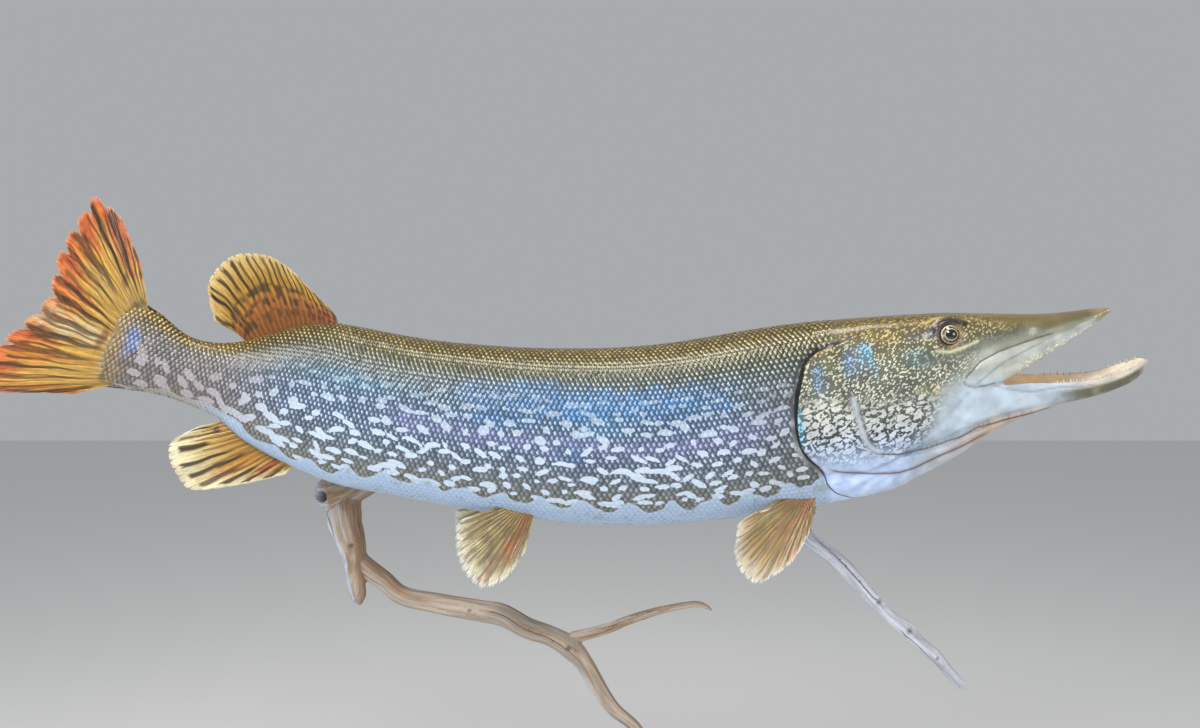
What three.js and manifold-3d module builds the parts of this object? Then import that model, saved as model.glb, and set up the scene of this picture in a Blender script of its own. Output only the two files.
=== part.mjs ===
// A mounted pike on a piece of driftwood, ready to hang on a wall.
//
// Millimetres, +Z up. The origin is the middle of the flat sawn into the back of the driftwood, which lies on
// the wall: the wall is the plane y = 0, the whole mount is on its -Y side, and the head points to +X.
//
// The fish is described along its own middle line. A place on it is (s, u, w): s is the distance behind the
// snout, u the height above the middle line and w the distance out to the fish's right, which faces the room.

import * as THREE from "three";
import { mergeVertices } from "three/addons/utils/BufferGeometryUtils.js";
import Module from "manifold-3d";

// ---------------------------------------------------------------- driving dimensions

const GAP = 0.3; // left between two pieces that touch end to end
const CLEARANCE = 0.45; // left round a piece that another is cut to fit
const NECK = 290; // where the head's solids end and the trunk begins
const MID_TRUNK = 560; // cut between the two lengths of the trunk
const TAIL_ROOT = 835; // cut between trunk and tail stalk
const RAY_ROOT = 1052; // end of the flesh at the tail fin
const FLATNESS = 2.3; // power of the oval sections: 2 is an ellipse, more is boxier
const RING = 18; // points round a section of the trunk

// The middle line: s, then x, y, z, and the lean of the body's top towards the room, in degrees
const SPINE = [
  [-41, 559, -200, 63, 7],
  [143, 380, -160, 42, 7],
  [310, 216, -133, 23, 3],
  [528, 0, -125, 3, 0],
  [692, -164, -125, 16, 0],
  [834, -303, -133, 41, 0],
  [925, -389, -150, 62, 0],
  [993, -449, -171, 84, 0],
  [1042, -492, -191, 102, 0],
];

// Trunk and tail stalk: s, height of the back, depth of the belly, half width
const BODY = [
  [290, 101.6, 97, 57],
  [325, 101, 99.5, 62],
  [370, 99.6, 100.5, 66],
  [430, 97, 100.5, 68],
  [528, 95, 97.5, 67],
  [650, 90, 91.5, 61],
  [735, 87, 86.5, 54],
  [800, 87, 85.5, 47],
  [835, 85.5, 79, 42],
  [873, 74, 69, 35],
  [905, 57.5, 57, 28],
  [930, 43.5, 43.5, 22.5],
  [960, 32.5, 39, 18.5],
  [985, 30.5, 37.5, 16],
  [1012, 40, 41, 13],
  [1035, 46, 46, 9],
  [1052, 46, 47, 5],
];

// Upper head: s, crown height, brow half width, drop of the brow below the crown, cheek half width and
// height, lip half width and height, height of the palate over the middle of the mouth
const HEAD = [
  [-7, 79.5, 5, 1, 8, 77, 7, 75.5, 76.5],
  [3, 81, 14, 2, 20, 76, 19, 71.5, 74],
  [26, 80.5, 21, 3, 30, 70, 29, 60, 67],
  [50, 81.2, 24, 4, 34, 64, 34, 49.5, 58],
  [80, 84.6, 25, 5, 36, 58, 37, 33, 50],
  [108, 88.4, 25, 5, 38, 54, 39, 21, 42],
  [140, 92.2, 27, 5, 43, 48, 43, 14, 30],
  [165, 94.6, 28, 6, 48, 40, 47, -8, -8],
  [190, 96.7, 30, 8, 52, 34, 50, -26, -26],
  [212, 98.4, 32, 10, 54, 28, 51, -42.6, -42.6],
  [250, 100.6, 35, 14, 55, 20, 50, -57, -57],
  [290, 101.6, 36, 17, 56, 12, 49, -58, -58],
];
const HEAD_STATIONS = [
  -7, 3, 14, 26, 38, 50, 65, 80, 94, 108, 124, 140, 152, 165, 178, 190, 208, 231, 250, 270,
];
const CHEEK_STEPS = 7; // points from the middle of the crown down to the lip

// Lower jaw: s, lip half width and height, side half width and height, height of the base, height of the
// mouth floor
const JAW = [
  [-41, 4, 24, 5, 22, 19, 23.8],
  [-35, 12, 24.5, 13, 20, 14.5, 20.5],
  [-25, 19, 21.5, 20, 14, 7, 13],
  [-5, 26, 15.5, 27, 9, -0.5, 4],
  [26, 31, 13, 32, 4, -8.5, -2],
  [50, 33, 14.5, 34, 2, -12.7, -4],
  [80, 35, 17.5, 36, 2, -16.4, -3],
  [108, 37, 18, 38, -4, -20.2, -1],
  [140, 41, 13.6, 43, -10, -27.7, 2],
  [165, 45, -8.4, 46, -22, -35.8, -8.4],
  [190, 48, -26.4, 48, -33, -40.6, -26.4],
  [212, 49, -43, 49, -43.4, -44, -43],
];
const JAW_END = 208; // one of the head's stations
const MOUTH_CORNER = 108; // from here back the jaw shuts against the upper lip
const JAW_TIP_STATIONS = [-41, -38, -35, -30, -25, -15, -5];
const JAW_LIP = 6; // thickness of the lip

// Throat under the jaw, with the folded membranes of the gills: s, half width, height of its lowest line
const THROAT = [
  [50, 22, -14.4],
  [65, 27, -18.4],
  [80, 30, -22.8],
  [108, 36, -33.6],
  [151, 41, -58.6],
  [195, 46, -78],
  [216, 48, -87],
  [240, 49, -91.5],
  [264, 49, -94],
  [290, 48, -97],
];
const THROAT_START = 65;

// Gill cover, from its top edge to its lowest: u, s of the front edge, s of the free rear edge
const GILL_COVER = [
  [76, 260, 267],
  [73, 257, 283],
  [66, 255, 296],
  [44, 254, 309],
  [4, 254, 319],
  [-14, 252, 319],
  [-28, 249, 316],
  [-41, 241, 307],
  [-51, 238, 298],
  [-56, 249, 286],
];
const GILL_COVER_STRIPS = 11;
const GILL_COVER_THICKNESS = 3.6;

// Upper jaw plate, from its front end to its round rear end: s, lower edge, upper edge
const MAXILLA = [
  [58, 46, 61],
  [77, 36, 59],
  [106, 22.5, 51.6],
  [126, 18.6, 43.8],
  [139, 22, 32],
];
const MAXILLA_THICKNESS = 2.4;
const PLATE_DEPTH = 4; // how far a plate reaches into the fish before the fish is cut away from it

const EYE = { s: 152, u: 74.6, radius: 12, proud: 3.4 };
const TONGUE = { from: 18, to: 128, halfWidth: 12, height: 6 };
const TEETH = { perSide: 9, from: -28, to: 72, height: 4, radius: 1.9 };

// Fins. root and tip rows: t along the fin from its front ray (0) to its rear ray (1), then s, u and w
const FINS = {
  dorsal_fin: {
    rays: 13,
    rootThickness: 5,
    root: [[0, 834, 80, 0], [0.5, 878, 66, 0], [1, 921, 42, 0]],
    tip: [
      [0, 846, 98, 0], [0.12, 870, 114.5, 1], [0.25, 892, 128.5, 2], [0.4, 922, 138, 3], [0.55, 950, 137, 4],
      [0.68, 974, 127, 5], [0.8, 985, 106, 5], [0.9, 986, 84, 4], [1, 966, 53, 3],
    ],
  },
  anal_fin: {
    rays: 11,
    rootThickness: 5,
    root: [[0, 841, -72, 0], [0.5, 880, -61, 0], [1, 919, -44, 0]],
    tip: [
      [0, 853, -86, 0], [0.12, 885, -102, 1], [0.25, 912, -114.5, 2], [0.38, 932, -122.5, 3],
      [0.55, 949, -111, 4], [0.7, 962, -94, 5], [0.85, 963, -78, 4], [1, 944, -56, 2],
    ],
  },
  caudal_fin: {
    rays: 15,
    rootThickness: 7,
    root: [
      [0, 1034, 42, 0], [0.12, 1045, 40, 0], [0.5, 1049, -1, 0], [0.88, 1045, -41, 0], [1, 1036, -42, 0],
    ],
    tip: [
      [0, 1052, 82, 5], [0.06, 1084, 118, 9], [0.12, 1110, 130, 11], [0.22, 1119, 105, 8],
      [0.35, 1123, 62, 5], [0.48, 1117, 18, 2], [0.62, 1131, -22, 4], [0.78, 1150, -68, 9],
      [0.88, 1160, -97, 12], [0.94, 1110, -81, 8], [1, 1062, -64, 4],
    ],
  },
  pelvic_fin: {
    rays: 8,
    rootThickness: 5,
    root: [[0, 592, -84, 27], [1, 614, -79, 33]],
    tip: [
      [0, 597, -125, 40], [0.12, 612, -152, 50], [0.28, 636, -165, 56], [0.42, 650, -155, 54],
      [0.6, 662, -138, 51], [0.78, 667, -117, 48], [0.92, 664, -97, 44], [1, 645, -90, 40],
    ],
  },
  pectoral_fin: {
    rays: 9,
    rootThickness: 6,
    root: [[0, 304, -86, 33], [1, 330, -80, 38]],
    tip: [
      [0, 318, -116, 54], [0.12, 343, -143, 64], [0.28, 385, -159, 76], [0.42, 400, -146, 75],
      [0.6, 405, -128, 72], [0.78, 401, -111, 68], [0.92, 390, -93, 62], [1, 362, -88, 54],
    ],
  },
};
const FIN_EDGE = 1.2; // thickness at the margin
const FIN_ROWS = 3; // strips from root to margin
const SCALLOP = 0.03; // depth of the notch between two rays, as a part of the ray's length
const WALL_SIDE = { pelvic_fin: [12, 0.8], pectoral_fin: [-20, 0.75] }; // shift along the body, and spread

// Driftwood limbs: x, y, z along the middle of each, and the radius there
const LIMBS = {
  driftwood_trunk: {
    sides: 11,
    steps: 17,
    path: [
      [-325, -72, -75, 13], [-316, -66, -71, 16.5], [-297, -57, -62, 22], [-235, -40, -21, 25],
      [-177, -32, 0, 28], [-95, -27, 8, 32], [0, -26, -1, 33], [95, -28, -24, 30], [171, -35, -63, 22],
      [223, -44, -105, 14], [236, -47, -117, 11],
    ],
  },
  driftwood_stub: {
    sides: 10,
    steps: 8,
    path: [
      [-299, -55, -59, 19], [-295, -56, -101, 18.5], [-286, -56, -135, 15], [-283, -56, -164, 11],
      [-280, -56, -184, 8.5], [-278, -56, -204, 3],
    ],
  },
  driftwood_lower_branch: {
    sides: 9,
    steps: 19,
    path: [
      [-287, -56, -139, 11], [-276, -54, -152, 11.5], [-252, -51, -171, 10.5], [-233, -50, -188, 10.5],
      [-190, -51, -198, 11], [-139, -53, -206, 11.5], [-116, -54, -210, 12.2], [-83, -56, -226, 11.5],
      [-58, -57, -234, 11], [-34, -58, -248, 12.5], [-18, -59, -266, 10.5], [3, -61, -301, 9.5],
      [16, -62, -318, 8.5], [41, -63, -339, 7], [70, -64, -384, 5.5], [98, -62, -430, 4.5],
      [108, -60, -456, 2.2],
    ],
  },
  driftwood_side_twig: {
    sides: 8,
    steps: 10,
    path: [
      [-39, -57, -239, 6.5], [-30, -58, -236, 6.5], [0, -60, -228, 5.8], [46, -64, -210, 5.1],
      [92, -67, -198, 4.3], [115, -68, -196, 3.6], [129, -69, -203, 1.5],
    ],
  },
  driftwood_right_branch: {
    sides: 9,
    steps: 14,
    path: [
      [224, -44, -106, 10], [246, -50, -126, 9.5], [267, -52, -141, 9], [284, -54, -156, 9],
      [318, -58, -195, 8], [337, -60, -213, 8.5], [353, -61, -226, 9], [367, -62, -240, 7.5],
      [386, -63, -257, 8.3], [399, -64, -271, 6.5], [412, -65, -286, 5.5], [422, -66, -297, 2.5],
    ],
  },
};
const BARK_WAVES = [[2, 0.07, 1.3], [3, 0.05, 4.1], [5, 0.025, 0.4]]; // lobes round, depth, phase
const BARK_TWIST = 5; // radians that the lobes turn along a limb

// ---------------------------------------------------------------- curves and frames

// The values of a table at t, on a smooth curve through its rows and straight on past its ends.
function along(table, t) {
  const last = table.length - 1;
  const slope = (i, k) => (table[i + 1][k] - table[i][k]) / (table[i + 1][0] - table[i][0]);
  const tangent = (i, k) => {
    if (last === 1) return slope(0, k);
    if (i === 0) return 1.5 * slope(0, k) - 0.5 * tangent(1, k);
    if (i === last) return 1.5 * slope(last - 1, k) - 0.5 * tangent(last - 1, k);
    const before = table[i][0] - table[i - 1][0];
    const after = table[i + 1][0] - table[i][0];
    return (slope(i - 1, k) * after + slope(i, k) * before) / (before + after);
  };
  let i = 0;
  while (i < last - 1 && t >= table[i + 1][0]) i += 1;
  const step = table[i + 1][0] - table[i][0];
  const a = (t - table[i][0]) / step;
  return table[i].slice(1).map((value, n) => {
    const k = n + 1;
    if (a < 0) return value + a * step * tangent(i, k);
    if (a > 1) return table[i + 1][k] + (a - 1) * step * tangent(i + 1, k);
    const b = 1 - a;
    return (
      value * (1 + 2 * a) * b * b + table[i + 1][k] * (1 + 2 * b) * a * a +
      step * (tangent(i, k) * a * b * b - tangent(i + 1, k) * b * a * a)
    );
  });
}

// A place of the fish as a point of the part.
function place(s, u, w) {
  const [x, y, z, lean] = along(SPINE, s);
  const front = along(SPINE, s - 0.5);
  const rear = along(SPINE, s + 0.5);
  const ahead = new THREE.Vector3(...[0, 1, 2].map((k) => front[k] - rear[k])).normalize();
  const right = new THREE.Vector3(ahead.y, -ahead.x, 0).normalize();
  const up = right.clone().cross(ahead);
  const angle = THREE.MathUtils.degToRad(lean);
  return new THREE.Vector3(x, y, z)
    .addScaledVector(up, u * Math.cos(angle) - w * Math.sin(angle))
    .addScaledVector(right, u * Math.sin(angle) + w * Math.cos(angle));
}

// ---------------------------------------------------------------- sections, as lists of [u, w]

// Mirrors a half section, which runs from its top to its foot on the right, to a closed ring.
function closedRing(half) {
  const left = half.slice(1, -1).reverse().map(([u, w]) => [u, -w]);
  return [...half, ...left];
}

// Moves the sides of a ring out, and its corners with them.
function grown(ring, amount) {
  const outward = ring.map(([u, w], i) => {
    const [nextU, nextW] = ring[(i + 1) % ring.length];
    return new THREE.Vector2(nextW - w, u - nextU).normalize();
  });
  return ring.map(([u, w], i) => {
    const before = outward[(i + ring.length - 1) % ring.length];
    const mitre = before.clone().add(outward[i]).normalize();
    const reach = amount / Math.max(0.3, mitre.dot(before));
    return [u + reach * mitre.x, w + reach * mitre.y];
  });
}

function bodySection(s) {
  const [top, bottom, halfWidth] = along(BODY, s);
  const half = [];
  for (let i = 0; i <= RING / 2; i += 1) {
    const angle = (Math.PI * i) / (RING / 2);
    const lift = Math.cos(angle);
    const reach = lift > 0 ? top : bottom;
    const w = halfWidth * Math.abs(Math.sin(angle)) ** (2 / FLATNESS);
    half.push([Math.sign(lift) * reach * Math.abs(lift) ** (2 / FLATNESS), w]);
  }
  return closedRing(half);
}

function headSection(s) {
  const [crown, browW, browDrop, cheekW, cheekU, lipW, lipU, palateU] = along(HEAD, s);
  const brow = crown - browDrop;
  const roof = Math.max(palateU, lipU);
  const points = [[brow, -browW], [crown, 0], [brow, browW], [cheekU, cheekW], [lipU, lipW]];
  const outside = new THREE.SplineCurve(points.map(([u, w]) => new THREE.Vector2(u, w)));
  const half = [];
  const first = 1 / (points.length - 1);
  stationsBetween(first, 1, CHEEK_STEPS).forEach((t) => {
    const point = outside.getPoint(t);
    half.push([point.x, point.y]);
  });
  half.push([lipU + (roof - lipU) * 0.7, lipW * 0.62], [roof, 0]);
  return closedRing(half);
}

function jawSection(s) {
  const [lipW, lipU, sideW, sideU, baseU, floorU] = along(JAW, s);
  const top = s > MOUTH_CORNER ? Math.min(lipU, along(HEAD, s)[6] - 2 * GAP) : lipU;
  const floor = Math.min(floorU, top);
  const wall = Math.min(JAW_LIP, lipW / 2);
  return closedRing([
    [floor, 0], [floor, 0.62 * (lipW - wall)], [top - Math.min(1.5, top - floor), lipW - wall],
    [top, lipW - 0.3 * wall], [top - 1.5 * (top > sideU + 2), lipW], [Math.min(sideU, top - 0.5), sideW],
    [baseU + 0.12 * (sideU - baseU), 0.8 * sideW], [baseU, 0],
  ]);
}

function throatSection(s) {
  const [halfWidth, bottom] = along(THROAT, s);
  const above = s <= JAW_END ? along(JAW, s)[4] : along(HEAD, s)[6];
  const top = above - 2 * GAP;
  const deep = top - bottom;
  return closedRing([
    [top, 0], [top, 0.7 * halfWidth], [top - 0.06 * deep, halfWidth], [top - 0.4 * deep, 0.94 * halfWidth],
    [top - 0.75 * deep, 0.66 * halfWidth], [top - 0.95 * deep, 0.3 * halfWidth], [bottom, 0],
  ]);
}

// Half width of the fish's right side at a height, off the section there. Below the side of the head it
// is the width of the head's lower edge.
function sideAt(s, height) {
  const ring = s < NECK ? headSection(s) : bodySection(s);
  const u = s < NECK ? Math.max(height, along(HEAD, s)[6] + 1) : height;
  let widest = 0;
  ring.forEach(([u0, w0], i) => {
    const [u1, w1] = ring[(i + 1) % ring.length];
    if ((u0 - u) * (u1 - u) > 0 || u0 === u1) return;
    widest = Math.max(widest, w0 + ((w1 - w0) * (u - u0)) / (u1 - u0));
  });
  return widest;
}

// ---------------------------------------------------------------- closed solids

// A geometry of points and triangles, turned to face out.
function solidGeometry(points, faces) {
  let volume = 0;
  faces.forEach(([a, b, c]) => {
    volume += points[a].dot(new THREE.Vector3().crossVectors(points[b], points[c]));
  });
  const outward = volume < 0 ? faces.map(([a, b, c]) => [a, c, b]) : faces;
  const geometry = new THREE.BufferGeometry();
  geometry.setAttribute("position", new THREE.Float32BufferAttribute(points.flatMap((p) => p.toArray()), 3));
  geometry.setIndex(outward.flat());
  return geometry;
}

// A skin over rings of points, closed by a fan at each end.
function loft(rings) {
  const count = rings[0].length;
  const points = rings.flat();
  const faces = [];
  for (let r = 0; r < rings.length - 1; r += 1) {
    for (let i = 0; i < count; i += 1) {
      const a = r * count + i;
      const b = r * count + ((i + 1) % count);
      faces.push([a, b, b + count], [a, b + count, a + count]);
    }
  }
  [0, rings.length - 1].forEach((r) => {
    const middle = rings[r].reduce((sum, p) => sum.add(p), new THREE.Vector3()).divideScalar(count);
    points.push(middle);
    for (let i = 0; i < count; i += 1) {
      const a = r * count + i;
      const b = r * count + ((i + 1) % count);
      faces.push(r === 0 ? [b, a, points.length - 1] : [a, b, points.length - 1]);
    }
  });
  return solidGeometry(points, faces);
}

// A loft of the fish over sections at the given stations.
function fishLoft(stations, section) {
  return loft(stations.map((s) => section(s).map(([u, w]) => place(s, u, w))));
}

// Even stations from one to another, both included.
function stationsBetween(from, to, steps) {
  return Array.from({ length: steps + 1 }, (_, i) => from + ((to - from) * i) / steps);
}

// A plate between an outer and an inner grid of points, rows by columns, closed round its border.
function plate(outer, inner) {
  const rows = outer.length;
  const columns = outer[0].length;
  const points = [...outer.flat(), ...inner.flat()];
  const under = rows * columns;
  const faces = [];
  const quad = (a, b, c, d) => faces.push([a, b, c], [a, c, d]);
  const at = (r, c) => r * columns + c;
  for (let r = 0; r < rows - 1; r += 1) {
    for (let c = 0; c < columns - 1; c += 1) {
      quad(at(r, c), at(r, c + 1), at(r + 1, c + 1), at(r + 1, c));
      quad(under + at(r, c), under + at(r + 1, c), under + at(r + 1, c + 1), under + at(r, c + 1));
    }
    quad(at(r, 0), at(r + 1, 0), under + at(r + 1, 0), under + at(r, 0));
    const [upper, lower] = [at(r, columns - 1), at(r + 1, columns - 1)];
    quad(lower, upper, under + upper, under + lower);
  }
  for (let c = 0; c < columns - 1; c += 1) {
    quad(at(0, c + 1), at(0, c), under + at(0, c), under + at(0, c + 1));
    quad(at(rows - 1, c), at(rows - 1, c + 1), under + at(rows - 1, c + 1), under + at(rows - 1, c));
  }
  return solidGeometry(points, faces);
}

const wasm = await Module();
wasm.setup();

function toSolid(geometry) {
  const bare = geometry.clone();
  bare.deleteAttribute("normal");
  bare.deleteAttribute("uv");
  const merged = mergeVertices(bare, 1e-4);
  return new wasm.Manifold(
    new wasm.Mesh({
      numProp: 3,
      vertProperties: merged.attributes.position.array,
      triVerts: new Uint32Array(merged.index.array),
    }),
  );
}

function toGeometry(solid) {
  const mesh = solid.getMesh();
  const positions = new Float32Array(mesh.numVert * 3);
  for (let i = 0; i < mesh.numVert; i += 1) {
    positions.set(mesh.vertProperties.subarray(i * mesh.numProp, i * mesh.numProp + 3), i * 3);
  }
  const geometry = new THREE.BufferGeometry();
  geometry.setAttribute("position", new THREE.BufferAttribute(positions, 3));
  geometry.setIndex(new THREE.BufferAttribute(mesh.triVerts, 1));
  return geometry;
}

// A geometry with others taken out of it.
function cut(geometry, ...tools) {
  let solid = toSolid(geometry);
  tools.forEach((tool) => {
    solid = solid.subtract(toSolid(tool));
  });
  const largest = solid.decompose().sort((a, b) => b.volume() - a.volume())[0];
  return toGeometry(largest);
}

function joined(geometry, ...others) {
  let solid = toSolid(geometry);
  others.forEach((other) => {
    solid = solid.add(toSolid(other));
  });
  return toGeometry(solid);
}

// ---------------------------------------------------------------- materials

const paint = (color, roughness) => new THREE.MeshStandardMaterial({ color, roughness, metalness: 0 });
const MATERIALS = {
  skin: paint(0x8d8a62, 0.3),
  head: paint(0x8f8a5e, 0.3),
  jaw: paint(0xd9d8cf, 0.3),
  tongue: paint(0xc98f5c, 0.35),
  gill: paint(0x9a966c, 0.3),
  fin: paint(0xc08a3c, 0.35),
  redFin: paint(0xb8562a, 0.35),
  eye: paint(0xc9a85a, 0.1),
  wood: paint(0x9a8b7a, 0.8),
};

const pike = new THREE.Group();

function addNode(name, geometry, material) {
  const mesh = new THREE.Mesh(geometry, material);
  mesh.name = name;
  pike.add(mesh);
}

// ---------------------------------------------------------------- head

function eyeball(side, grow = 0) {
  const surface = sideAt(EYE.s, EYE.u);
  const ball = new THREE.IcosahedronGeometry(EYE.radius + grow, 2);
  const centre = place(EYE.s, EYE.u - 2, side * (surface + EYE.proud - EYE.radius));
  return ball.translate(centre.x, centre.y, centre.z);
}

// A plate that lies on the side of the fish, over strips of [s, u]. It starts out reaching into the fish,
// which is then cut away from it.
function sidePlate(side, strips, thickness) {
  const onSide = (lift) => ([s, u]) => place(s, u, side * (sideAt(s, u) + lift));
  const grid = (lift) => strips.map((strip) => strip.map(onSide(lift)));
  return cut(plate(grid(thickness), grid(-PLATE_DEPTH)), grownHead, grownBody, grownThroat);
}

function gillCover(side) {
  const ends = GILL_COVER.map(([u, front, rear]) => [-u, front, rear]);
  const [top, bottom] = [-ends[0][0], -ends[ends.length - 1][0]];
  // The strips lie closer together towards the round top and foot of the plate.
  const strips = stationsBetween(0, Math.PI, GILL_COVER_STRIPS).map((angle) => {
    const u = (top + bottom) / 2 + ((top - bottom) / 2) * Math.cos(angle);
    const [front, rear] = along(ends, -u);
    return stationsBetween(front, rear, 4).map((s) => [s, u]);
  });
  return sidePlate(side, strips, GILL_COVER_THICKNESS);
}

function maxilla(side) {
  const strips = stationsBetween(MAXILLA[0][0], MAXILLA[MAXILLA.length - 1][0], 7).map((s) => {
    const [low, high] = along(MAXILLA, s);
    return stationsBetween(low, high, 3).map((u) => [s, u]);
  });
  return sidePlate(side, strips, MAXILLA_THICKNESS);
}

function lowerJaw() {
  const stations = [...JAW_TIP_STATIONS, ...HEAD_STATIONS.filter((s) => s > 0 && s <= JAW_END)];
  const bone = fishLoft(stations, jawSection);
  const teeth = [];
  for (let i = 0; i < TEETH.perSide; i += 1) {
    const s = TEETH.from + ((TEETH.to - TEETH.from) * i) / (TEETH.perSide - 1);
    const [lipW, lipU] = along(JAW, s);
    [1, -1].forEach((side) => {
      const height = TEETH.height * (i % 2 ? 0.75 : 1);
      const tooth = new THREE.ConeGeometry(TEETH.radius, height + 2, 4);
      tooth.rotateX(Math.PI / 2);
      const foot = place(s, lipU - 1 + height / 2, side * (lipW - JAW_LIP / 2));
      teeth.push(tooth.translate(foot.x, foot.y, foot.z));
    });
  }
  return joined(bone, ...teeth);
}

function tongue() {
  const section = (s) => {
    const t = (s - TONGUE.from) / (TONGUE.to - TONGUE.from);
    const swell = Math.sqrt(Math.max(0.06, 1 - (2 * t - 1) ** 4));
    const foot = along(JAW, s)[5] + GAP;
    const w = TONGUE.halfWidth * swell;
    const top = foot + TONGUE.height * swell;
    return closedRing([[top, 0], [top - 1, 0.55 * w], [foot + 2, w], [foot + 0.3, 0.9 * w], [foot + 0.3, 0]]);
  };
  return fishLoft(stationsBetween(TONGUE.from, TONGUE.to, 8), section);
}

const headStations = [...HEAD_STATIONS, NECK - GAP];
const throatStations = headStations.filter((s) => s >= THROAT_START);
const trunkFrontStations = stationsBetween(NECK, MID_TRUNK, 7);
const trunkRearStations = stationsBetween(MID_TRUNK + GAP, TAIL_ROOT, 7);
const tailStations = stationsBetween(TAIL_ROOT + GAP, RAY_ROOT, 12);
const grow = (section) => (s) => grown(section(s), CLEARANCE);
const grownHead = fishLoft([...HEAD_STATIONS, NECK + GAP], grow(headSection));
const grownThroat = fishLoft([...throatStations, NECK + GAP], grow(throatSection));
const bodyStations = [...trunkFrontStations, ...trunkRearStations, ...tailStations, RAY_ROOT + GAP];
const grownBody = fishLoft(bodyStations, grow(bodySection));

const head = fishLoft(headStations, headSection);
addNode("head", cut(head, eyeball(1, GAP), eyeball(-1, GAP)), MATERIALS.head);
addNode("lower_jaw", lowerJaw(), MATERIALS.jaw);
addNode("tongue", tongue(), MATERIALS.tongue);
addNode("throat", fishLoft(throatStations, throatSection), MATERIALS.jaw);
[["right", 1], ["left", -1]].forEach(([name, side]) => {
  addNode(`eye_${name}`, eyeball(side), MATERIALS.eye);
  addNode(`gill_cover_${name}`, gillCover(side), MATERIALS.gill);
  addNode(`maxilla_${name}`, maxilla(side), MATERIALS.jaw);
});

// ---------------------------------------------------------------- trunk and tail stalk

addNode("trunk_front", fishLoft(trunkFrontStations, bodySection), MATERIALS.skin);
addNode("trunk_rear", fishLoft(trunkRearStations, bodySection), MATERIALS.skin);
addNode("tail_stalk", fishLoft(tailStations, bodySection), MATERIALS.skin);

// ---------------------------------------------------------------- fins

// A fan of rays with webs between them. Each ray is a thick column and each web a thin one.
function finGeometry(fin, side, [shift, spread]) {
  const columns = 2 * fin.rays - 1;
  const centres = [];
  const thickness = [];
  for (let r = 0; r <= FIN_ROWS; r += 1) {
    const v = r / FIN_ROWS;
    const row = [];
    const thick = [];
    for (let c = 0; c < columns; c += 1) {
      const t = c / (columns - 1);
      const root = along(fin.root, t);
      const tip = along(fin.tip, t);
      const isWeb = c % 2;
      const reach = v * (1 - isWeb * SCALLOP);
      const s = root[0] + (tip[0] + shift - root[0]) * reach;
      const u = root[1] + (tip[1] - root[1]) * reach;
      const w = root[2] + (tip[2] - root[2]) * reach * spread;
      row.push([s, u, side * w]);
      thick.push((fin.rootThickness * (1 - v) ** 2 + FIN_EDGE) * (isWeb ? 0.7 : 1));
    }
    centres.push(row);
    thickness.push(thick);
  }
  const points = centres.map((row) => row.map((q) => place(...q)));
  const face = (sign) =>
    points.map((row, r) =>
      row.map((point, c) => {
        const across = row[Math.min(c + 1, columns - 1)].clone().sub(row[Math.max(c - 1, 0)]);
        const out = points[Math.min(r + 1, FIN_ROWS)][c].clone().sub(points[Math.max(r - 1, 0)][c]);
        const normal = across.cross(out).normalize();
        return point.clone().addScaledVector(normal, (sign * thickness[r][c]) / 2);
      }),
    );
  return plate(face(1), face(-1));
}

const STRAIGHT = [0, 1];
["dorsal_fin", "anal_fin", "caudal_fin"].forEach((name) => {
  const material = name === "caudal_fin" ? MATERIALS.redFin : MATERIALS.fin;
  addNode(name, cut(finGeometry(FINS[name], 1, STRAIGHT), grownBody), material);
});
["pelvic_fin", "pectoral_fin"].forEach((name) => {
  addNode(`${name}_right`, cut(finGeometry(FINS[name], 1, STRAIGHT), grownBody), MATERIALS.fin);
  addNode(`${name}_left`, cut(finGeometry(FINS[name], -1, WALL_SIDE[name]), grownBody), MATERIALS.fin);
});

// ---------------------------------------------------------------- driftwood

function limb({ path, sides, steps }, grow = 0) {
  const middles = path.map(([x, y, z]) => new THREE.Vector3(x, y, z));
  const curve = new THREE.CatmullRomCurve3(middles, false, "centripetal");
  const radii = path.map(([, , , radius], i) => [i / (path.length - 1), radius]);
  const rings = stationsBetween(0, 1, steps).map((t) => {
    const centre = curve.getPoint(t);
    const ahead = curve.getTangent(t);
    const across = new THREE.Vector3(0, 1, 0).cross(ahead).normalize();
    const over = ahead.clone().cross(across);
    const radius = along(radii, t)[0] + grow;
    return Array.from({ length: sides }, (_, i) => {
      const angle = (2 * Math.PI * i) / sides;
      const wave = ([n, deep, phase]) => deep * Math.sin(n * angle + phase + BARK_TWIST * t);
      const waves = BARK_WAVES.reduce((sum, lobe) => sum + wave(lobe), 1);
      return centre
        .clone()
        .addScaledVector(across, radius * waves * Math.cos(angle))
        .addScaledVector(over, radius * waves * Math.sin(angle));
    });
  });
  return loft(rings);
}

const WALL = new THREE.BoxGeometry(1000, 100, 400).translate(0, 50, 0);
const { driftwood_trunk: trunk, driftwood_stub: stub, driftwood_lower_branch: lower } = LIMBS;
const woodNodes = {
  driftwood_trunk: cut(limb(trunk), grownBody, WALL),
  driftwood_stub: cut(limb(stub), limb(trunk, GAP), grownBody),
  driftwood_lower_branch: cut(limb(lower), limb(stub, GAP), limb(trunk, GAP)),
  driftwood_side_twig: cut(limb(LIMBS.driftwood_side_twig), limb(lower, GAP)),
  driftwood_right_branch: cut(limb(LIMBS.driftwood_right_branch), limb(trunk, GAP), grownBody),
};
Object.entries(woodNodes).forEach(([name, geometry]) => addNode(name, geometry, MATERIALS.wood));

export default pike;
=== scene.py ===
"""A mounted pike on a piece of driftwood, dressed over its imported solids.

Metres, +Z up. The wall behind the mount is the plane y = 0 and the head points to +X. The fish has a frame of
its own, in millimetres: s behind the snout, u above the middle line and w out to the right, to the room.
"""

import logging
import math
from dataclasses import dataclass
from typing import ClassVar

import bpy
import numpy as np
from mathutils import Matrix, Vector
from mathutils.bvhtree import BVHTree


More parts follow.
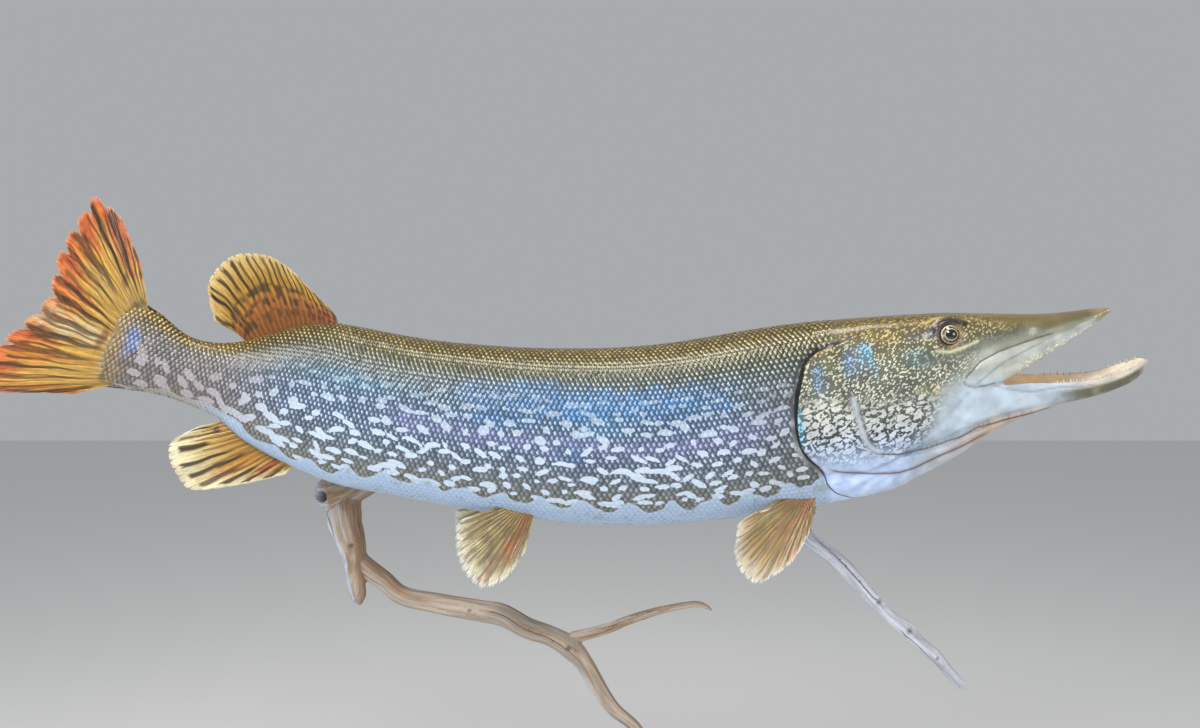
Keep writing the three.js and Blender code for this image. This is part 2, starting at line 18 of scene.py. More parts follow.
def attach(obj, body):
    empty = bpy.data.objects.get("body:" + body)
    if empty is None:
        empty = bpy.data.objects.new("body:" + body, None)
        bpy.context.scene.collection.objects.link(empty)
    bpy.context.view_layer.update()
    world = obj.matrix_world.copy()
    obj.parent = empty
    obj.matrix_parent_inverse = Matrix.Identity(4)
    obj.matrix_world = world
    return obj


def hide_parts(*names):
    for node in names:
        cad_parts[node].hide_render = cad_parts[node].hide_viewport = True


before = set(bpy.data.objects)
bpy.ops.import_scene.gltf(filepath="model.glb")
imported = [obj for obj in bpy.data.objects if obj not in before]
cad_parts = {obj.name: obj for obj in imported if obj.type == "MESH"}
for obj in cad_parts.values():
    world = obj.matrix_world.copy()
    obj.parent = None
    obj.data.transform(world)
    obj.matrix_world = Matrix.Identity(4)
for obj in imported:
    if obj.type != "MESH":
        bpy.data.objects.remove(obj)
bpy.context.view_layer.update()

LOG = logging.getLogger("pike")
MM = 0.001
BODY = "root"
SEED = 7
RIGHT = 1
LEFT = -1
NAMES = {RIGHT: "right", LEFT: "left"}

Array = np.ndarray
Triple = tuple[float, float, float]
Row = tuple[float, float, float, float]
Colour = Triple
Item = bpy.types.Object
Socket = bpy.types.NodeSocket
Material = bpy.types.Material
BLACK: Colour = (0.008, 0.008, 0.009)
FAR = 30.0  # a place far from any thin line, in half widths of the line


# ---- numbers and noise


def ramp(low: float, high: float, value: Array | float) -> Array:
    """Rises smoothly from 0 at low to 1 at high; high may lie below low."""
    t = np.clip((value - low) / (high - low), 0, 1)
    return t * t * (3 - 2 * t)


def taper(along: Array, end: float) -> Array:
    """Returns 1 along a line and 0 at its ends, for shares of the way."""
    return ramp(0, end, along) * ramp(1, 1 - end, along)


def unit(vectors: Array) -> Array:
    """Brings vectors to a length of 1."""
    return vectors / np.linalg.norm(vectors, axis=-1, keepdims=True)


def bell(value: Array, width: float) -> Array:
    """Returns 1 at a value of 0, falling to nothing within twice the width."""
    return np.exp(-((value / width) ** 2))


def blend(a: Array | Colour, b: Array | Colour, share: Array) -> Array:
    """Mixes two colours, or rows of colours, by a share for each row."""
    return np.asarray(a) * (1 - share)[..., None] + np.asarray(b) * share[..., None]


def lattice_noise(x: Array, y: Array, seed: int) -> Array:
    """Returns smooth noise from 0 to 1 over a plane, one cell for each unit.

    Args:
        x: Places across, in cells.
        y: Places up, in cells.
        seed: Picks the pattern.

    Returns:
        A number for each place.
    """
    column, row = np.floor(x).astype(np.int64), np.floor(y).astype(np.int64)
    fx, fy = x - column, y - row
    fx, fy = fx * fx * (3 - 2 * fx), fy * fy * (3 - 2 * fy)

    def corner(i: int, j: int) -> Array:
        """A random number for one corner of each cell."""
        mixed = (column + i) * 374761393 + (row + j) * 668265263 + seed * 974711
        mixed = (mixed ^ (mixed >> 13)) * 1274126177
        return ((mixed ^ (mixed >> 16)) & 0xFFFF) / 65535

    low, high = (corner(0, j) * (1 - fx) + corner(1, j) * fx for j in (0, 1))
    return low * (1 - fy) + high * fy


def cloud(x: Array, y: Array, seed: int, octaves: int = 3) -> Array:
    """Sums finer and finer noise, from 0 to 1.

    Args:
        x: Places across, in cells.
        y: Places up, in cells.
        seed: Picks the pattern.
        octaves: How many sizes of noise.

    Returns:
        A number for each place.
    """
    total, weight = np.zeros_like(x, float), 0
    for octave in range(octaves):
        share = 0.5**octave
        total += share * lattice_noise(x * 2**octave, y * 2**octave, seed + octave)
        weight += share
    return total / weight


class Curve:
    """A smooth curve through the rows of a table, which runs straight on past its ends."""

    def __init__(self, rows: list[tuple[float, ...]]) -> None:
        """Works out the slopes. Each row is a place and then the values there."""
        table = np.array(rows, float)
        self.t, self.values = table[:, 0], table[:, 1:]
        steps = np.diff(self.t)[:, None]
        slopes = np.diff(self.values, axis=0) / steps
        self.tangents = np.empty_like(self.values)
        if len(table) == 2:
            self.tangents[:] = slopes[0]
            return
        before, after = steps[:-1], steps[1:]
        self.tangents[1:-1] = (slopes[:-1] * after + slopes[1:] * before) / (before + after)
        self.tangents[0] = 1.5 * slopes[0] - 0.5 * self.tangents[1]
        self.tangents[-1] = 1.5 * slopes[-1] - 0.5 * self.tangents[-2]

    def __call__(self, t: Array | float) -> Array:
        """Returns the values at each place, with one more axis than t."""
        t = np.asarray(t, float)
        i = np.clip(np.searchsorted(self.t, t, side="right") - 1, 0, len(self.t) - 2)
        step = (self.t[i + 1] - self.t[i])[..., None]
        whole = (t - self.t[i])[..., None] / step
        a = np.clip(whole, 0, 1)
        b = 1 - a
        start, end = self.values[i], self.values[i + 1]
        leave, arrive = self.tangents[i], self.tangents[i + 1]
        value = start * (1 + 2 * a) * b * b + end * (1 + 2 * b) * a * a
        value += step * (leave * a * b * b - arrive * b * a * a)
        return value + (whole - a) * step * np.where(whole > 1, arrive, leave)


def distance_to_line(x: Array, y: Array, line: list[tuple[float, float]]) -> tuple[Array, Array]:
    """Measures how far places lie from a line of straight stretches.

    Args:
        x: First coordinate of each place.
        y: Second coordinate.
        line: The line's corners.

    Returns:
        The distance, and how far along the line the nearest point lies, from 0 to 1.
    """
    corners = np.array(line, float)
    lengths = np.hypot(*np.diff(corners, axis=0).T)
    starts = np.concatenate([[0], np.cumsum(lengths)[:-1]])
    best, where = np.full(x.shape, 1e9), np.zeros(x.shape)
    for (x0, y0), (x1, y1), length, start in zip(corners[:-1], corners[1:], lengths, starts):
        t = np.clip(((x - x0) * (x1 - x0) + (y - y0) * (y1 - y0)) / length**2, 0, 1)
        gap = np.hypot(x - x0 - t * (x1 - x0), y - y0 - t * (y1 - y0))
        near = gap < best
        best = np.where(near, gap, best)
        where = np.where(near, (start + t * length) / lengths.sum(), where)
    return best, where


# ---- meshes


def grid_faces(rows: int, columns: int, wrap: bool = False, start: int = 0) -> Array:
    """Returns the quads of a grid of points, closed across the rows if wrap is true.

    Args:
        rows: How many rows of points.
        columns: How many points in a row.
        wrap: Closes each row on itself.
        start: The number of the first point.

    Returns:
        Four point numbers for each quad.
    """
    row = np.arange(rows - 1)[:, None]
    column = np.arange(columns if wrap else columns - 1)[None, :]
    after = (column + 1) % columns
    a, b = row * columns + column, row * columns + after
    return start + np.stack([a, b, b + columns, a + columns], axis=-1).reshape(-1, 4)


def build_mesh(name: str, points: Array, faces: list[Array]) -> Item:
    """Makes a smooth-shaded mesh object in the scene.

    Args:
        name: Name of the object.
        points: One row for each vertex, in metres.
        faces: Arrays of faces, each with its own number of corners.

    Returns:
        The object, which sits at the origin.
    """
    mesh = bpy.data.meshes.new(name)
    corners = np.concatenate([group.ravel() for group in faces])
    sizes = np.concatenate([np.full(len(group), group.shape[1]) for group in faces])
    mesh.vertices.add(len(points))
    mesh.vertices.foreach_set("co", np.ascontiguousarray(points, np.float32).ravel())
    mesh.loops.add(len(corners))
    mesh.loops.foreach_set("vertex_index", corners.astype(np.int32))
    mesh.polygons.add(len(sizes))
    mesh.polygons.foreach_set("loop_start", (np.cumsum(sizes) - sizes).astype(np.int32))
    mesh.polygons.foreach_set("use_smooth", np.ones(len(sizes), bool))
    mesh.update(calc_edges=True)
    mesh.validate()
    made = bpy.data.objects.new(name, mesh)
    bpy.context.scene.collection.objects.link(made)
    return made


def read(entries: bpy.types.bpy_prop_collection, key: str, width: int, kind: type = np.float32) -> Array:
    """Returns one property of each entry of a mesh, in rows of the given width.

    Args:
        entries: A mesh's list of vertices, faces or values.
        key: The property's name.
        width: How many numbers it has.
        kind: The type of a number.

    Returns:
        A row for each entry.
    """
    flat = np.empty(len(entries) * width, kind)
    entries.foreach_get(key, flat)
    return flat.reshape(-1, width)


def points_of(made: Item) -> Array:
    """Returns the vertices of a mesh object, one row each."""
    return read(made.data.vertices, "co", 3).astype(float)


def normals_of(made: Item) -> Array:
    """Returns the vertex normals of a mesh object, one row each."""
    return read(made.data.vertex_normals, "vector", 3).astype(float)


def move_points(made: Item, points: Array) -> None:
    """Puts the vertices of a mesh object elsewhere."""
    made.data.vertices.foreach_set("co", np.ascontiguousarray(points, np.float32).ravel())
    made.data.update()


def set_colour(made: Item, name: str, colours: Array, alpha: Array | float = 1) -> None:
    """Writes a colour for each vertex, with a fourth number beside it.

    Args:
        made: The object.
        name: The attribute's name.
        colours: A row of three for each vertex.
        alpha: The fourth numbers.
    """
    rows = np.ones((len(colours), 4), np.float32)
    rows[:, :3] = np.clip(colours, 0, 1)
    rows[:, 3] = alpha
    made.data.attributes.new(name, "FLOAT_COLOR", "POINT").data.foreach_set("color", rows.ravel())


def set_values(made: Item, name: str, values: Array) -> None:
    """Writes a number or a vector for each vertex."""
    kind, key = ("FLOAT", "value") if values.ndim == 1 else ("FLOAT_VECTOR", "vector")
    made.data.attributes.new(name, kind, "POINT").data.foreach_set(key, values.astype(np.float32).ravel())


def corner_vertices(made: Item) -> Array:
    """Returns the vertex of each face corner."""
    return read(made.data.loops, "vertex_index", 1, np.int32)[:, 0]


def set_uv(made: Item, name: str, places: Array) -> None:
    """Writes a UV map from a place for each face corner."""
    made.data.uv_layers.new(name=name).uv.foreach_set("vector", places.astype(np.float32).ravel())


def drop(made: Item, *names: str) -> None:
    """Takes attributes away that have done their work."""
    for name in names:
        made.data.attributes.remove(made.data.attributes[name])


def applied(made: Item) -> Item:
    """Bakes the modifiers of an object into a plain mesh and removes them."""
    graph = bpy.context.evaluated_depsgraph_get()
    mesh = bpy.data.meshes.new_from_object(made.evaluated_get(graph), depsgraph=graph)
    made.modifiers.clear()
    made.data = mesh
    mesh.polygons.foreach_set("use_smooth", np.ones(len(mesh.polygons), bool))
    return made


def tube(name: str, rings: Array, ends: Array, turned: bool = False) -> Item:
    """Makes a closed tube over rings of points, with a fan of faces at each end.

    Args:
        name: Name of the object.
        rings: Rows of points, one row for each ring.
        ends: The end points that close the first and the last ring.
        turned: Whether the rings run the other way round.

    Returns:
        The tube.
    """
    count, total = rings.shape[1], rings.shape[0] * rings.shape[1]
    around = np.arange(count)
    after, last = np.roll(around, -1), total - count
    front = np.stack([around, after, np.full(count, total)], axis=1)
    rear = np.stack([last + after, last + around, np.full(count, total + 1)], axis=1)
    groups = [grid_faces(len(rings), count, wrap=True)[:, ::-1], front, rear]
    if turned:
        groups = [group[:, ::-1] for group in groups]
    return build_mesh(name, np.concatenate([rings.reshape(-1, 3), ends]), groups)


def plate(name: str, outer: Array, inner: Array) -> Item:
    """Makes a closed plate between two grids of points, with its faces turned out.

    Args:
        name: The object's name.
        outer: Points of the outer face, row by row.
        inner: Points of the inner face.

    Returns:
        The plate as an object.
    """
    rows, columns = outer.shape[:2]
    under = rows * columns
    quads = [grid_faces(rows, columns), grid_faces(rows, columns, start=under)[:, ::-1]]
    index = np.arange(under).reshape(rows, columns)
    border = np.concatenate([index[0, :-1], index[:-1, -1], index[-1, :0:-1], index[:0:-1, 0]])
    after = np.roll(border, -1)
    quads.append(np.stack([after, border, border + under, after + under], axis=1))
    faces = np.concatenate(quads)
    points = np.concatenate([outer.reshape(-1, 3), inner.reshape(-1, 3)])
    a, b, c, d = (points[faces[:, k]] - points[0] for k in range(4))
    volume = np.sum(a * (np.cross(b, c) + np.cross(c, d)))
    return build_mesh(name, points, [faces[:, ::-1] if volume < 0 else faces])


def fused(name: str, shells: list[Item], voxel: float, smoothing: int) -> Item:
    """Melts closed shells that pass into each other into one skin.

    Args:
        name: Name of the skin.
        shells: The shells, which are used up.
        voxel: Size of its faces, in metres.
        smoothing: How many times it is smoothed.

    Returns:
        The skin.
    """
    points, triangles, start = [], [], 0
    for shell in shells:
        points.append(points_of(shell))
        shell.data.calc_loop_triangles()
        triangles.append(start + read(shell.data.loop_triangles, "vertices", 3, np.int32))
        start += len(points[-1])
        bpy.data.objects.remove(shell)
    made = build_mesh(name, np.concatenate(points), [np.concatenate(triangles)])
    remesh = made.modifiers.new("Melt", "REMESH")
    remesh.mode, remesh.voxel_size = "VOXEL", voxel
    smooth = made.modifiers.new("Smooth", "SMOOTH")
    smooth.factor, smooth.iterations = 0.5, smoothing
    return applied(made)


# ---- the fish's frame and sections


class Fish:
    """The fish's own frame and its sections, in millimetres."""

    NECK = 290
    END = 1052
    FLATNESS = 2.3
    SPINE = Curve([
        (-41, 559, -200, 63, 7), (143, 380, -160, 42, 7), (310, 216, -133, 23, 3), (528, 0, -125, 3, 0),
        (692, -164, -125, 16, 0), (834, -303, -133, 41, 0), (925, -389, -150, 62, 0),
        (993, -449, -171, 84, 0), (1042, -492, -191, 102, 0),
    ])  # s, then x, y, z and the lean of the back to the room, in degrees
    TRUNK = Curve([
        (290, 101.6, 97, 57), (325, 101, 99.5, 62), (370, 99.6, 100.5, 66), (430, 97, 100.5, 68),
        (528, 95, 97.5, 67), (650, 90, 91.5, 61), (735, 87, 86.5, 54), (800, 87, 85.5, 47),
        (835, 85.5, 79, 42), (873, 74, 69, 35), (905, 57.5, 57, 28), (930, 43.5, 43.5, 22.5),
        (960, 32.5, 39, 18.5), (985, 30.5, 37.5, 16), (1012, 40, 41, 13), (1035, 46, 46, 9),
        (1052, 46, 47, 5),
    ])  # s, height of the back, depth of the belly, half width
    HEAD = Curve([
        (-7, 80.4, 5.5, 1, 8, 77, 7.5, 72.6, 74), (3, 81, 14, 2, 20, 76, 19, 68.6, 72.5),
        (26, 80.5, 21, 3, 30, 70, 29, 57, 66), (50, 81.2, 24, 4, 34, 64, 34, 46, 57),
        (80, 84.6, 25, 5, 36, 58, 37, 29.8, 49), (108, 88.4, 25, 5, 38, 54, 39, 18.8, 41),
        (140, 92.2, 27, 5, 43, 48, 43, 14, 30), (165, 94.6, 28, 6, 48, 40, 47, -8, -8),
        (190, 96.7, 30, 8, 52, 34, 50, -26, -26), (212, 98.4, 32, 10, 54, 28, 51, -42.6, -42.6),
        (250, 100.6, 35, 14, 55, 20, 50, -57, -57), (290, 101.6, 36, 17, 56, 12, 49, -58, -58),
    ])  # s, crown height, brow half width and drop, cheek half width and height, lip ditto, palate height
    JAW = Curve([
        (-41, 4, 24, 5, 21, 15.5, 23.8), (-35, 12, 24.5, 13, 18.5, 10.5, 20.5),
        (-25, 19, 21.5, 20, 13, 3, 13), (-5, 26, 15.5, 27, 7, -4.5, 4), (26, 31, 13, 32, 3, -11, -2),
        (50, 33, 14.5, 34, 2, -13.7, -4), (80, 35, 17.5, 36, 2, -16.4, -3), (108, 37, 18, 38, -4, -20.2, -1),
        (140, 41, 13.6, 43, -10, -27.7, 2), (165, 45, -8.4, 46, -22, -35.8, -8.4),
        (190, 48, -26.4, 48, -33, -40.6, -26.4), (212, 49, -43, 49, -43.4, -44, -43),
    ])  # s, lip half width and height, side half width and height, height of the base and of the mouth floor
    THROAT = Curve([
        (50, 22, -14.4), (65, 27, -18.4), (80, 30, -22.8), (108, 36, -33.6), (151, 41, -58.6), (195, 46, -78),
        (216, 48, -87), (240, 49, -91.5), (264, 49, -94), (290, 48, -97),
    ])  # s, half width, height of the lowest line
    JAW_LIP = 6
    JAW_END = 208
    MOUTH_CORNER = 108

    @classmethod
    def frame_at(cls, s: Array) -> tuple[Array, Array, Array]:
        """Returns the middle line, the way up and the way out to the right at each s.

        Args:
            s: Places behind the snout, in millimetres.

        Returns:
            Three rows of vectors, one for each place.
        """
        row = cls.SPINE(s)
        ahead = unit(cls.SPINE(s - 0.5)[..., :3] - cls.SPINE(s + 0.5)[..., :3])
        right = unit(np.stack([ahead[..., 1], -ahead[..., 0], np.zeros(ahead.shape[:-1])], axis=-1))
        up = np.cross(right, ahead)
        lean = np.radians(row[..., 3:4])
        rise, run = np.cos(lean), np.sin(lean)
        return row[..., :3], up * rise + right * run, right * rise - up * run

    @classmethod
    def place(cls, s: Array | float, u: Array | float, w: Array | float) -> Array:
        """Turns places of the fish into points of the scene, in metres.

        Args:
            s: Places behind the snout, in millimetres.
            u: Heights over the middle line.
            w: Places right of the middle.

        Returns:
            A row of three for each place.
        """
        s, u, w = np.broadcast_arrays(*(np.asarray(value, float) for value in (s, u, w)))
        middle, up, right = cls.frame_at(s)
        return (middle + up * u[..., None] + right * w[..., None]) * MM

    @classmethod
    def locate(cls, points: Array) -> tuple[Array, Array, Array]:
        """Turns points of the scene, in metres, into places (s, u, w) of the fish.

        Args:
            points: A row of three for each point.

        Returns:
            s, u and w in millimetres.
        """
        target = points / MM
        stations = np.linspace(-60, 1180, 400)
        s = np.interp(-target[:, 0], -cls.SPINE(stations)[:, 0], stations)
        for _ in range(6):
            behind = cls.SPINE(s + 0.5)[:, :3] - cls.SPINE(s - 0.5)[:, :3]
            s = s + np.sum((target - cls.SPINE(s)[:, :3]) * behind, axis=1) / np.sum(behind * behind, axis=1)
            s = np.clip(s, -80, 1200)
        middle, up, right = cls.frame_at(s)
        off = target - middle
        return s, np.sum(off * up, axis=1), np.sum(off * right, axis=1)

    @classmethod
    def trunk_ring(cls, s: float, shares: Array) -> tuple[Array, Array, float]:
        """Finds places round the trunk.

        Args:
            s: Where the section is.
            shares: 0 on the back and 1 on the belly, along the girth; negative ones lie on the left.

        Returns:
            u and w of each place, and the half girth.
        """
        top, bottom, half = cls.TRUNK(s)
        angle = np.linspace(0, math.pi, 241)
        power = 2 / cls.FLATNESS
        lift, out = np.cos(angle), np.sin(angle)
        u = np.sign(lift) * np.where(lift > 0, top, bottom) * np.abs(lift) ** power
        w = half * np.abs(out) ** power
        girth = np.concatenate([[0], np.cumsum(np.hypot(np.diff(u), np.diff(w)))])
        at = np.abs(shares) * girth[-1]
        return np.interp(at, girth, u), np.sign(shares) * np.interp(at, girth, w), float(girth[-1])

    @classmethod
    def head_outside(cls, s: float, count: int) -> tuple[Array, Array]:
        """Returns u and w down the right side of the head, from crown to lip."""
        crown, brow_w, brow_drop, cheek_w, cheek_u, lip_w, lip_u, _ = cls.HEAD(s)
        brow = crown - brow_drop
        knots = np.array([
            (brow, -brow_w), (crown, 0), (brow, brow_w), (cheek_u, cheek_w), (lip_u, lip_w), (lip_u, lip_w),
        ])
        t = np.linspace(0, 3, count)
        i = np.minimum(t.astype(int), 2)
        f = (t - i)[:, None]
        p0, p1, p2, p3 = knots[i], knots[i + 1], knots[i + 2], knots[i + 3]
        leave, arrive = (p2 - p0) / 2, (p3 - p1) / 2
        ring = (2 * p1 - 2 * p2 + leave + arrive) * f**3 + (3 * p2 - 3 * p1 - 2 * leave - arrive) * f**2
        ring += leave * f + p1
        return ring[:, 0], ring[:, 1]

    @classmethod
    def head_ring(cls, s: float) -> Array:
        """Returns the closed ring (u, w) of the upper head, with the palate inside it."""
        u, w = cls.head_outside(s, 49)
        lip_w, lip_u, palate = cls.HEAD(s)[5:8]
        roof = max(palate, lip_u)
        inside = Curve([(0, lip_u, lip_w), (1, lip_u + 0.7 * (roof - lip_u), 0.62 * lip_w), (2, roof, 0)])
        under = inside(np.linspace(0, 2, 13))[1:]
        return cls.closed(np.concatenate([np.stack([u, w], axis=1), under]))

    @classmethod
    def jaw_ring(cls, s: float) -> Array:
        """Returns the closed ring (u, w) of the lower jaw, a trough between two lips."""
        lip_w, lip_u, side_w, side_u, base, floor = cls.JAW(s)
        joined = 4.5 * ramp(cls.MOUTH_CORNER + 8, cls.MOUTH_CORNER + 24, s)
        top = min(lip_u, cls.HEAD(s)[6] + 0.3) + joined if s > cls.MOUTH_CORNER else lip_u
        floor = min(floor, top)
        wall = min(cls.JAW_LIP, lip_w / 2)
        half = np.array([
            (floor, 0), (floor, 0.62 * (lip_w - wall)), (top - min(1.5, top - floor), lip_w - wall),
            (top, lip_w - 0.3 * wall), (top - 1.5 * (top > side_u + 2), lip_w),
            (min(side_u, top - 0.5), side_w), (base + 0.12 * (side_u - base), 0.8 * side_w), (base, 0),
        ])
        return cls.rounded(cls.closed(half))

    @classmethod
    def throat_ring(cls, s: float) -> Array:
        """Returns the closed ring (u, w) of the throat, which passes a little into the jaw."""
        half_width, bottom = cls.THROAT(s)
        top = (cls.JAW(s)[4] if s <= cls.JAW_END else cls.HEAD(s)[6]) + 1.5
        deep = top - bottom
        half = np.array([
            (top, 0), (top, 0.7 * half_width), (top - 0.06 * deep, half_width),
            (top - 0.4 * deep, 0.94 * half_width), (top - 0.75 * deep, 0.66 * half_width),
            (top - 0.95 * deep, 0.3 * half_width), (bottom, 0),
        ])
        return cls.rounded(cls.closed(half))

    @staticmethod
    def closed(half: Array) -> Array:
        """Mirrors a half ring, from top to foot on the right, to a closed one."""
        return np.concatenate([half, half[-2:0:-1] * (1, -1)])

    @staticmethod
    def rounded(ring: Array) -> Array:
        """Cuts the corners of a closed ring twice."""
        for _ in range(2):
            after = np.roll(ring, -1, axis=0)
            ring = np.stack([0.75 * ring + 0.25 * after, 0.25 * ring + 0.75 * after], axis=1).reshape(-1, 2)
        return ring

    @classmethod
    def side_at(cls, s: Array, u: Array) -> Array:
        """Returns the half width of the fish's side at each place (s, u).

        Args:
            s: Places behind the snout, in millimetres.
            u: Heights over the middle line.

        Returns:
            The half widths in millimetres.
        """
        width = np.empty(s.shape)
        for index, (at, height) in enumerate(zip(s.ravel(), u.ravel())):
            if at >= cls.NECK:
                ring_u, ring_w, _ = cls.trunk_ring(at, np.linspace(0, 1, 97))
            elif height >= cls.HEAD(at)[6]:
                ring_u, ring_w = cls.head_outside(at, 49)
            else:
                ring = cls.throat_ring(at)
                ring = ring[ring[:, 1] > 0]
                ring_u, ring_w = ring[:, 0], ring[:, 1]
            order = np.argsort(ring_u)
            width.flat[index] = np.interp(height, ring_u[order], ring_w[order])
        return width

    @classmethod
    def loft(cls, name: str, stations: Array, rings: list[Array]) -> Item:
        """Makes a closed shell over rings (u, w) at the stations."""
        points = np.array([cls.place(s, ring[:, 0], ring[:, 1]) for s, ring in zip(stations, rings)])
        return tube(name, points, points[[0, -1]].mean(axis=1))


# ---- finishes


class Nodes:
    """A tree of nodes in the making."""

    def __init__(self, tree: bpy.types.NodeTree) -> None:
        """Takes the tree that the nodes go into."""
        self.tree = tree

    def node(self, kind: str, inputs: dict[int | str, object], **settings: object) -> bpy.types.Node:
        """Adds a node, sets it up and feeds its inputs with sockets or plain values.

        Args:
            kind: The node's type.
            inputs: What goes into each socket.

        Returns:
            The new node.
        """
        made = self.tree.nodes.new(kind)
        for key, value in settings.items():
            setattr(made, key, value)
        for key, value in inputs.items():
            self.feed(made.inputs[key], value)
        return made

    def feed(self, socket: Socket, value: object) -> None:
        """Links a socket to another, or sets its value."""
        if isinstance(value, Socket):
            self.tree.links.new(value, socket)
        elif isinstance(value, tuple) and len(value) == 3 and socket.type == "RGBA":
            socket.default_value = (*value, 1)
        else:
            socket.default_value = value


@dataclass(frozen=True)
class Varnish:
    """The gloss over a painted surface, and how far it strays to each side."""

    roughness: float = 0.42
    coat: float = 0.45
    coat_roughness: float = 0.18
    stray: tuple[float, float] = (0.08, 0.08)


class Shader(Nodes):
    """A material in the making, with short ways to add its nodes."""

    def __init__(self, name: str) -> None:
        """Starts a material with a plain surface shader."""
        self.material = bpy.data.materials.new(name)
        self.material.use_nodes = True
        super().__init__(self.material.node_tree)

    def attribute(self, name: str, output: str = "Color") -> Socket:
        """Reads an attribute of the mesh."""
        return self.node("ShaderNodeAttribute", {}, attribute_name=name).outputs[output]

    def stretched(self, at: Socket, scale: Colour, turned: Colour = (0, 0, 0)) -> Socket:
        """Returns coordinates turned first and then stretched."""
        if any(turned):
            at = self.node("ShaderNodeMapping", {"Vector": at, "Rotation": turned}).outputs[0]
        return self.node("ShaderNodeMapping", {"Vector": at, "Scale": scale}).outputs[0]

    def place(self, scale: Colour = (1, 1, 1), turned: Colour = (0, 0, 0)) -> Socket:
        """Returns the object's own coordinates, turned and stretched."""
        return self.stretched(self.node("ShaderNodeTexCoord", {}).outputs["Object"], scale, turned)

    def cells(self, at: Socket, scale: float, feature: str = "F1") -> Socket:
        """Returns the distance from the middles or the edges of scattered cells."""
        made = self.node("ShaderNodeTexVoronoi", {"Vector": at, "Scale": scale}, feature=feature)
        return made.outputs["Distance"]

    def noise(self, at: Socket, scale: float, detail: float = 3.0, bend: float = 0.0) -> Socket:
        """Returns smooth noise from 0 to 1."""
        inputs = {"Vector": at, "Scale": scale, "Detail": detail, "Distortion": bend}
        return self.node("ShaderNodeTexNoise", inputs).outputs["Fac"]

    def bent(self, at: Socket, scale: float, amount: float) -> Socket:
        """Returns coordinates pushed about by noise."""
        noise = self.node("ShaderNodeTexNoise", {"Vector": at, "Scale": scale, "Detail": 1}).outputs["Color"]
        way = self.vector("SUBTRACT", {0: noise, 1: (0.5, 0.5, 0.5)})
        return self.vector("MULTIPLY_ADD", {0: way, 1: (amount, amount, amount), 2: at})

    def vector(self, operation: str, inputs: dict[int, object]) -> Socket:
        """Reckons with vectors."""
        return self.node("ShaderNodeVectorMath", inputs, operation=operation).outputs[0]

    def math(self, operation: str, a: object, b: object = 0) -> Socket:
        """Reckons with one or two numbers."""
        return self.node("ShaderNodeMath", {0: a, 1: b}, operation=operation).outputs[0]

    def rise(self, value: Socket, low: float, high: float, start: float = 0.0, end: float = 1.0) -> Socket:
        """Leads smoothly from start at low to end at high."""
        inputs = {"Value": value, "From Min": low, "From Max": high, "To Min": start, "To Max": end}
        return self.node("ShaderNodeMapRange", inputs, interpolation_type="SMOOTHSTEP").outputs[0]

    def mix(self, share: object, a: object, b: object, way: str = "MIX") -> Socket:
        """Mixes two colours.

        Args:
            share: How much of b there is.
            a: The colour under it.
            b: The colour over it.
            way: How they blend.

        Returns:
            The mixed colour.
        """
        made = self.node("ShaderNodeMix", {}, data_type="RGBA", blend_type=way)
        sockets = {socket.identifier: socket for socket in (*made.inputs, *made.outputs)}
        for key, value in {"Factor_Float": share, "A_Color": a, "B_Color": b}.items():
            self.feed(sockets[key], value)
        return sockets["Result_Color"]

    def shaded(self, colour: object, shade: Socket) -> Socket:
        """Darkens or lightens a colour by a number."""
        grey = self.node("ShaderNodeCombineColor", {0: shade, 1: shade, 2: shade}).outputs[0]
        return self.mix(1, colour, grey, "MULTIPLY")

    def lined(self, colour: object, line: Socket, strength: float, ink: Colour = BLACK) -> Socket:
        """Draws a thin line where a number lies between -1 and 1."""
        return self.mix(self.rise(self.math("ABSOLUTE", line), 0.7, 1.05, strength, 0), colour, ink)

    def bump(self, height: Socket, depth: float, strength: float, under: Socket | None = None) -> Socket:
        """Roughens the surface; depth is in metres."""
        inputs = {"Height": height, "Distance": depth, "Strength": strength}
        return self.node("ShaderNodeBump", inputs | ({} if under is None else {"Normal": under})).outputs[0]

    def done(self, inputs: dict[str, object]) -> Material:
        """Feeds the surface shader and returns the material."""
        for key, value in inputs.items():
            self.feed(self.tree.nodes["Principled BSDF"].inputs[key], value)
        return self.material

    def varnished(self, colour: Socket, normal: Socket, grain: Socket, gloss: Varnish) -> Material:
        """Returns the material under a varnish that a grain makes uneven."""
        low, high = gloss.roughness - gloss.stray[0], gloss.roughness + gloss.stray[1]
        return self.done({
            "Base Color": colour, "Normal": normal, "Roughness": self.rise(grain, 0.3, 0.7, low, high),
            "Coat Weight": gloss.coat, "Coat Roughness": gloss.coat_roughness, "Specular IOR Level": 0.25,
        })


